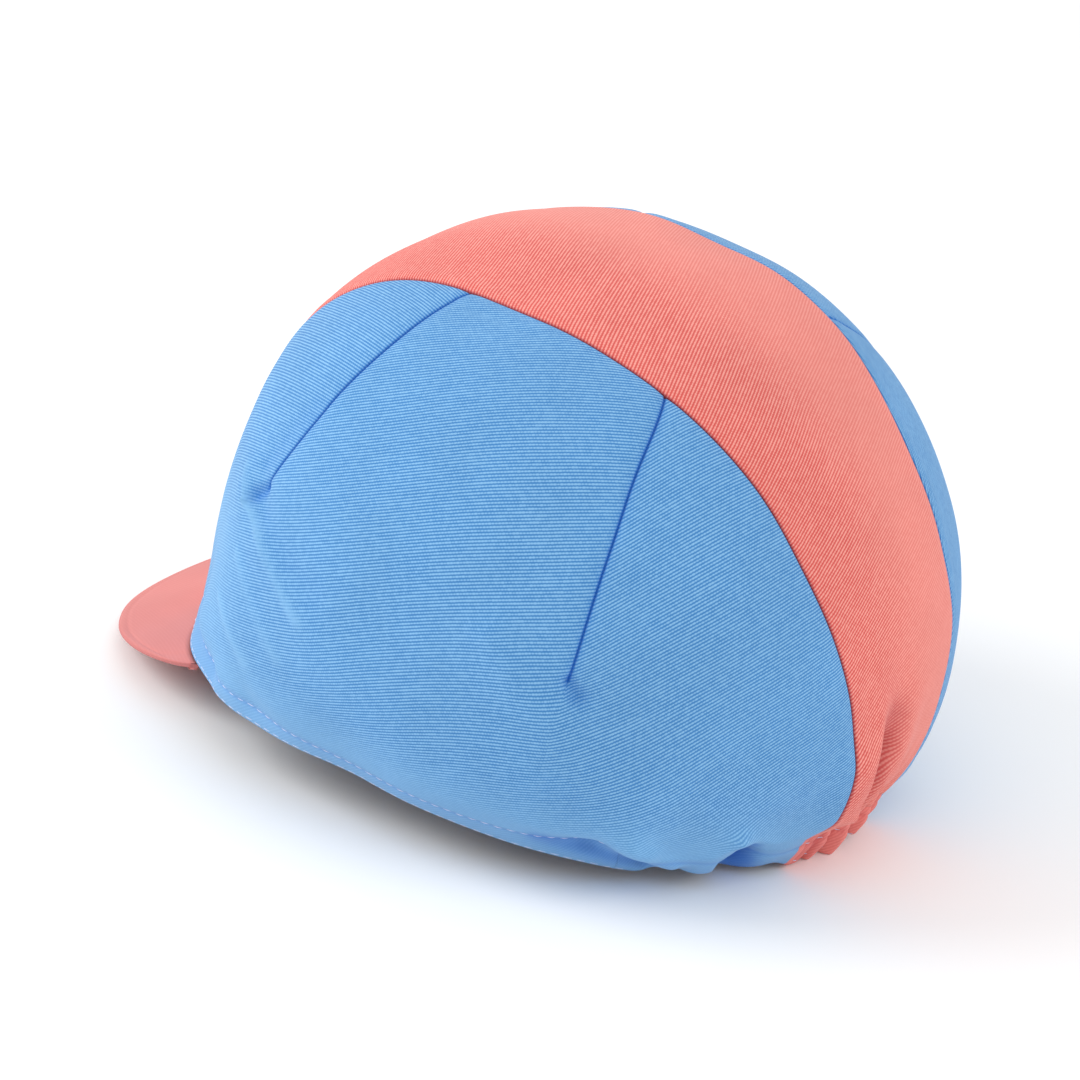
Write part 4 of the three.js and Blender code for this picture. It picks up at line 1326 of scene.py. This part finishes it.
def twill(name, rib, gap, painted_shade_colour, pitch=PITCH, contrast=1.0):
    """Cotton twill: beaded ribs from the weave's coordinates, with painted shade in the seams, darts
    and folds. Its colours are those of the ribs, of the gaps between them and of the painted shade."""
    n = Nodes(name)
    weave, body = n.weave(), n.body()
    split = n.node("ShaderNodeSeparateXYZ", weave)
    along_rib, across = split.outputs[0], split.outputs[1]
    drift = n.math("MULTIPLY", n.noise(weave, RIB_DRIFT["scale"]), RIB_DRIFT["reach"])
    place = n.math("DIVIDE", n.math("ADD", across, drift), pitch)
    number = n.math("ROUND", place)
    slide = n.math("MULTIPLY", number, BEAD["slide"])
    bead_place = n.scaled(along_rib, 1 / (pitch * BEAD["length"]), slide)
    beads = n.scaled(n.wave(bead_place), BEAD["share"], 1 - BEAD["share"])
    height = n.math("MULTIPLY", n.wave(place), beads)
    spot = n.joined(number, n.math("ROUND", bead_place))
    yarn = n.node("ShaderNodeTexWhiteNoise", spot, noise_dimensions="2D").outputs["Value"]
    stretched = n.math("MULTIPLY", along_rib, STREAK["stretch"])
    streak = n.noise(n.joined(stretched, number), **STREAK_NOISE)
    lift = n.math(
        "ADD",
        n.scaled(yarn, YARN_SHARE, -YARN_SHARE / 2),
        n.scaled(streak, STREAK["share"], -STREAK["share"] / 2),
    )
    share = n.ramp(n.math("ADD", height, lift), *RIB_RAMP)
    # Where the weave is faint, and where a highlight is painted, the ribs flatten and the colour
    # lightens.
    faint_and_highlight = n.attribute("faint_and_highlight")
    strength = n.scaled(faint_and_highlight, -FAINT_SHARE * contrast, contrast)
    middle = n.scaled(faint_and_highlight, FAINT_AND_HIGHLIGHT_LIFT, RIB_MIDDLE)
    share = n.scaled(n.math("SUBTRACT", share, RIB_MIDDLE), strength, middle)
    colour = n.blend(share, linear(gap), linear(rib))
    tone = n.ramp(n.noise(body, **CLOUD), *CLOUD_TONES)
    colour = n.blend(1.0, colour, n.joined(tone, tone, tone), "MULTIPLY")
    # Painted shade: the colour goes towards the painted shade colour as far as each point's painted
    # shade reaches.
    dark = n.math("MULTIPLY", n.attribute("painted_shade"), PAINTED_SHADE_SHARE)
    colour = n.blend(n.math("MINIMUM", dark, PAINTED_SHADE_MOST), colour, linear(painted_shade_colour))
    height = n.scaled(n.noise(body, **FUZZ), FUZZ_SHARE, height)
    strength = n.math("MULTIPLY", strength, TWILL_RELIEF["strength"])
    n.bump(strength, TWILL_RELIEF["distance"], height)
    return n.finish(colour, TWILL_SHADER)


def thread(name, light, dark):
    """Pale sewing thread, twisted along each stitch."""
    n = Nodes(name)
    grain = n.noise(n.body(), **SPUN)
    twist = n.math("MULTIPLY", n.noise(n.weave(), TWIST["scale"]), TWIST["share"])
    colour = n.blend(n.ramp(n.math("ADD", grain, twist), *SPUN_RAMP), linear(dark), linear(light))
    n.bump(THREAD_RELIEF["strength"], THREAD_RELIEF["distance"], grain)
    return n.finish(colour, THREAD_SHADER)


# The third colour of each twill is its painted shade.
BLUE_TWILL = twill("blue_twill", (132, 183, 223), (60, 124, 185), (4, 98, 190), contrast=0.92)
CORAL_TWILL = twill("coral_twill", (238, 155, 144), (207, 84, 78), (150, 34, 56), pitch=0.8)
BLUE_HEM = twill("blue_hem", (132, 180, 222), (65, 122, 181), (26, 92, 190), contrast=0.5)
CORAL_HEM = twill("coral_hem", (240, 148, 140), (208, 90, 86), (176, 30, 40), contrast=0.8)
CORAL_PEAK = twill("coral_peak", (218, 141, 136), (195, 105, 104), (170, 74, 76), contrast=0.25)
THREAD = thread("thread", (216, 220, 240), (184, 198, 228))


def dress(piece, material, slot, *nodes):
    piece.data.materials.append(material)
    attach(piece, "root")
    if nodes:
        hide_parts(*nodes)


for side in ("left", "right"):
    is_right = side == "right"
    dress(make_panel(side), BLUE_TWILL, "blue_twill", f"panel_{side}")
    hem = make_band(f"hem_band_{side}", FRONT_CORNER, CASING_START, HEM_COLUMNS, is_right)
    dress(hem, BLUE_HEM, "blue_hem", f"hem_{side}")
    columns = CASING_COLUMNS["side"]
    casing = make_band(f"elastic_casing_{side}", CASING_START, REAR_CORNER, columns, is_right)
    dress(casing, BLUE_HEM, "blue_hem", f"casing_{side}")
    rows = [
        stitch_row(FRONT_CORNER + STITCH_INSET, HEM_STITCH_END, height_at, is_right, **HEM_STITCH)
        for height_at in (stitch_height, edge_stitch_height)
    ]
    dress(add_stitches(f"stitches_{side}", rows), THREAD, "thread")

dress(make_strip(), CORAL_TWILL, "coral_twill", "centre_strip")
far_corner = 180 - REAR_CORNER
columns = CASING_COLUMNS["centre"]
ruffle = make_band("elastic_casing_centre", REAR_CORNER, far_corner, columns, False, True)
dress(ruffle, CORAL_HEM, "coral_hem", "casing_centre")
start, end = REAR_CORNER + STITCH_INSET, far_corner - STITCH_INSET
rows = [
    stitch_row(start, end, height_at, False, **RUFFLE_STITCH)
    for height_at in (stitch_height, low_stitch_height)
]
dress(add_stitches("stitches_centre", rows), THREAD, "thread")
dress(make_peak(), CORAL_PEAK, "coral_peak", "peak")


# Floor, light and camera.


def plain_floor():
    n = Nodes("studio_floor")
    tone = n.ramp(n.noise(n.body(), FLOOR_NOISE), *FLOOR_TONES)
    mesh = bpy.data.meshes.new("studio_floor")
    signs = ((-1, -1), (1, -1), (1, 1), (-1, 1))
    corners = [(x * FLOOR_REACH, y * FLOOR_REACH, -FLOOR_DROP) for x, y in signs]
    mesh.from_pydata(corners, [], [(0, 1, 2, 3)])
    mesh.materials.append(n.finish(n.joined(tone, tone, tone), FLOOR_SHADER))
    floor = add_object("studio_floor", mesh)


def camera_axes():
    """The camera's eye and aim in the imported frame, in metres, and its right and up."""
    back = direction(CAMERA["azimuth"], CAMERA["elevation"])
    level = direction(CAMERA["azimuth"] + 90, 0)
    rise = np.cross(back, level)
    turn = math.radians(CAMERA["roll"])
    right = level * math.cos(turn) + rise * math.sin(turn)
    up = rise * math.cos(turn) - level * math.sin(turn)
    target = np.array(CAMERA["target"])
    places = (
        target + back * CAMERA["distance"],
        target + right * CAMERA["aim_right"] + up * CAMERA["aim_up"],
    )
    origin = stand(np.zeros(3), False)
    right, up = (stand(axis, False) - origin for axis in (right, up))
    eye, aim = (stand(place, False) / METRE for place in places)
    return eye, aim, right, up


def aimed(place, aim, up=(0.0, 0.0, 1.0)):
    """The matrix of a camera or light at a place that points at its aim."""
    back = unit(place - aim)
    right = unit(np.cross(up, back))
    rows = np.eye(4)
    rows[:3] = np.stack([right, np.cross(back, right), back, place], axis=1)
    return Matrix(rows.tolist())


def place_camera(eye, aim, up):
    data = bpy.data.cameras.new("camera")
    for setting in ("lens", "sensor_width", "clip_end"):
        setattr(data, setting, CAMERA[setting])
    camera = add_object("camera", data)
    camera.matrix_world = aimed(eye, aim, up)
    bpy.context.scene.camera = camera


def area_light(row, toward, up, right):
    data = bpy.data.lights.new(row["name"], "AREA")
    data.shape = "DISK"
    data.size = row["size"]
    data.energy = row["power"]
    way = unit(np.stack([toward, up, right], axis=1) @ np.array(row["direction"]))
    light = add_object(row["name"], data)
    light.matrix_world = aimed(aim + row["distance"] * way, aim)


plain_floor()
eye, aim, view_right, view_up = camera_axes()
place_camera(eye, aim, view_up)
for row in LIGHTS:
    area_light(row, unit(eye - aim), view_up, view_right)
world = bpy.data.worlds.new("studio")
world.use_nodes = True
background = world.node_tree.nodes["Background"].inputs
background["Color"].default_value = (1.0, 1.0, 1.0, 1.0)
background["Strength"].default_value = WORLD_STRENGTH
bpy.context.scene.world = world
bpy.context.scene.view_settings.view_transform = "Standard"
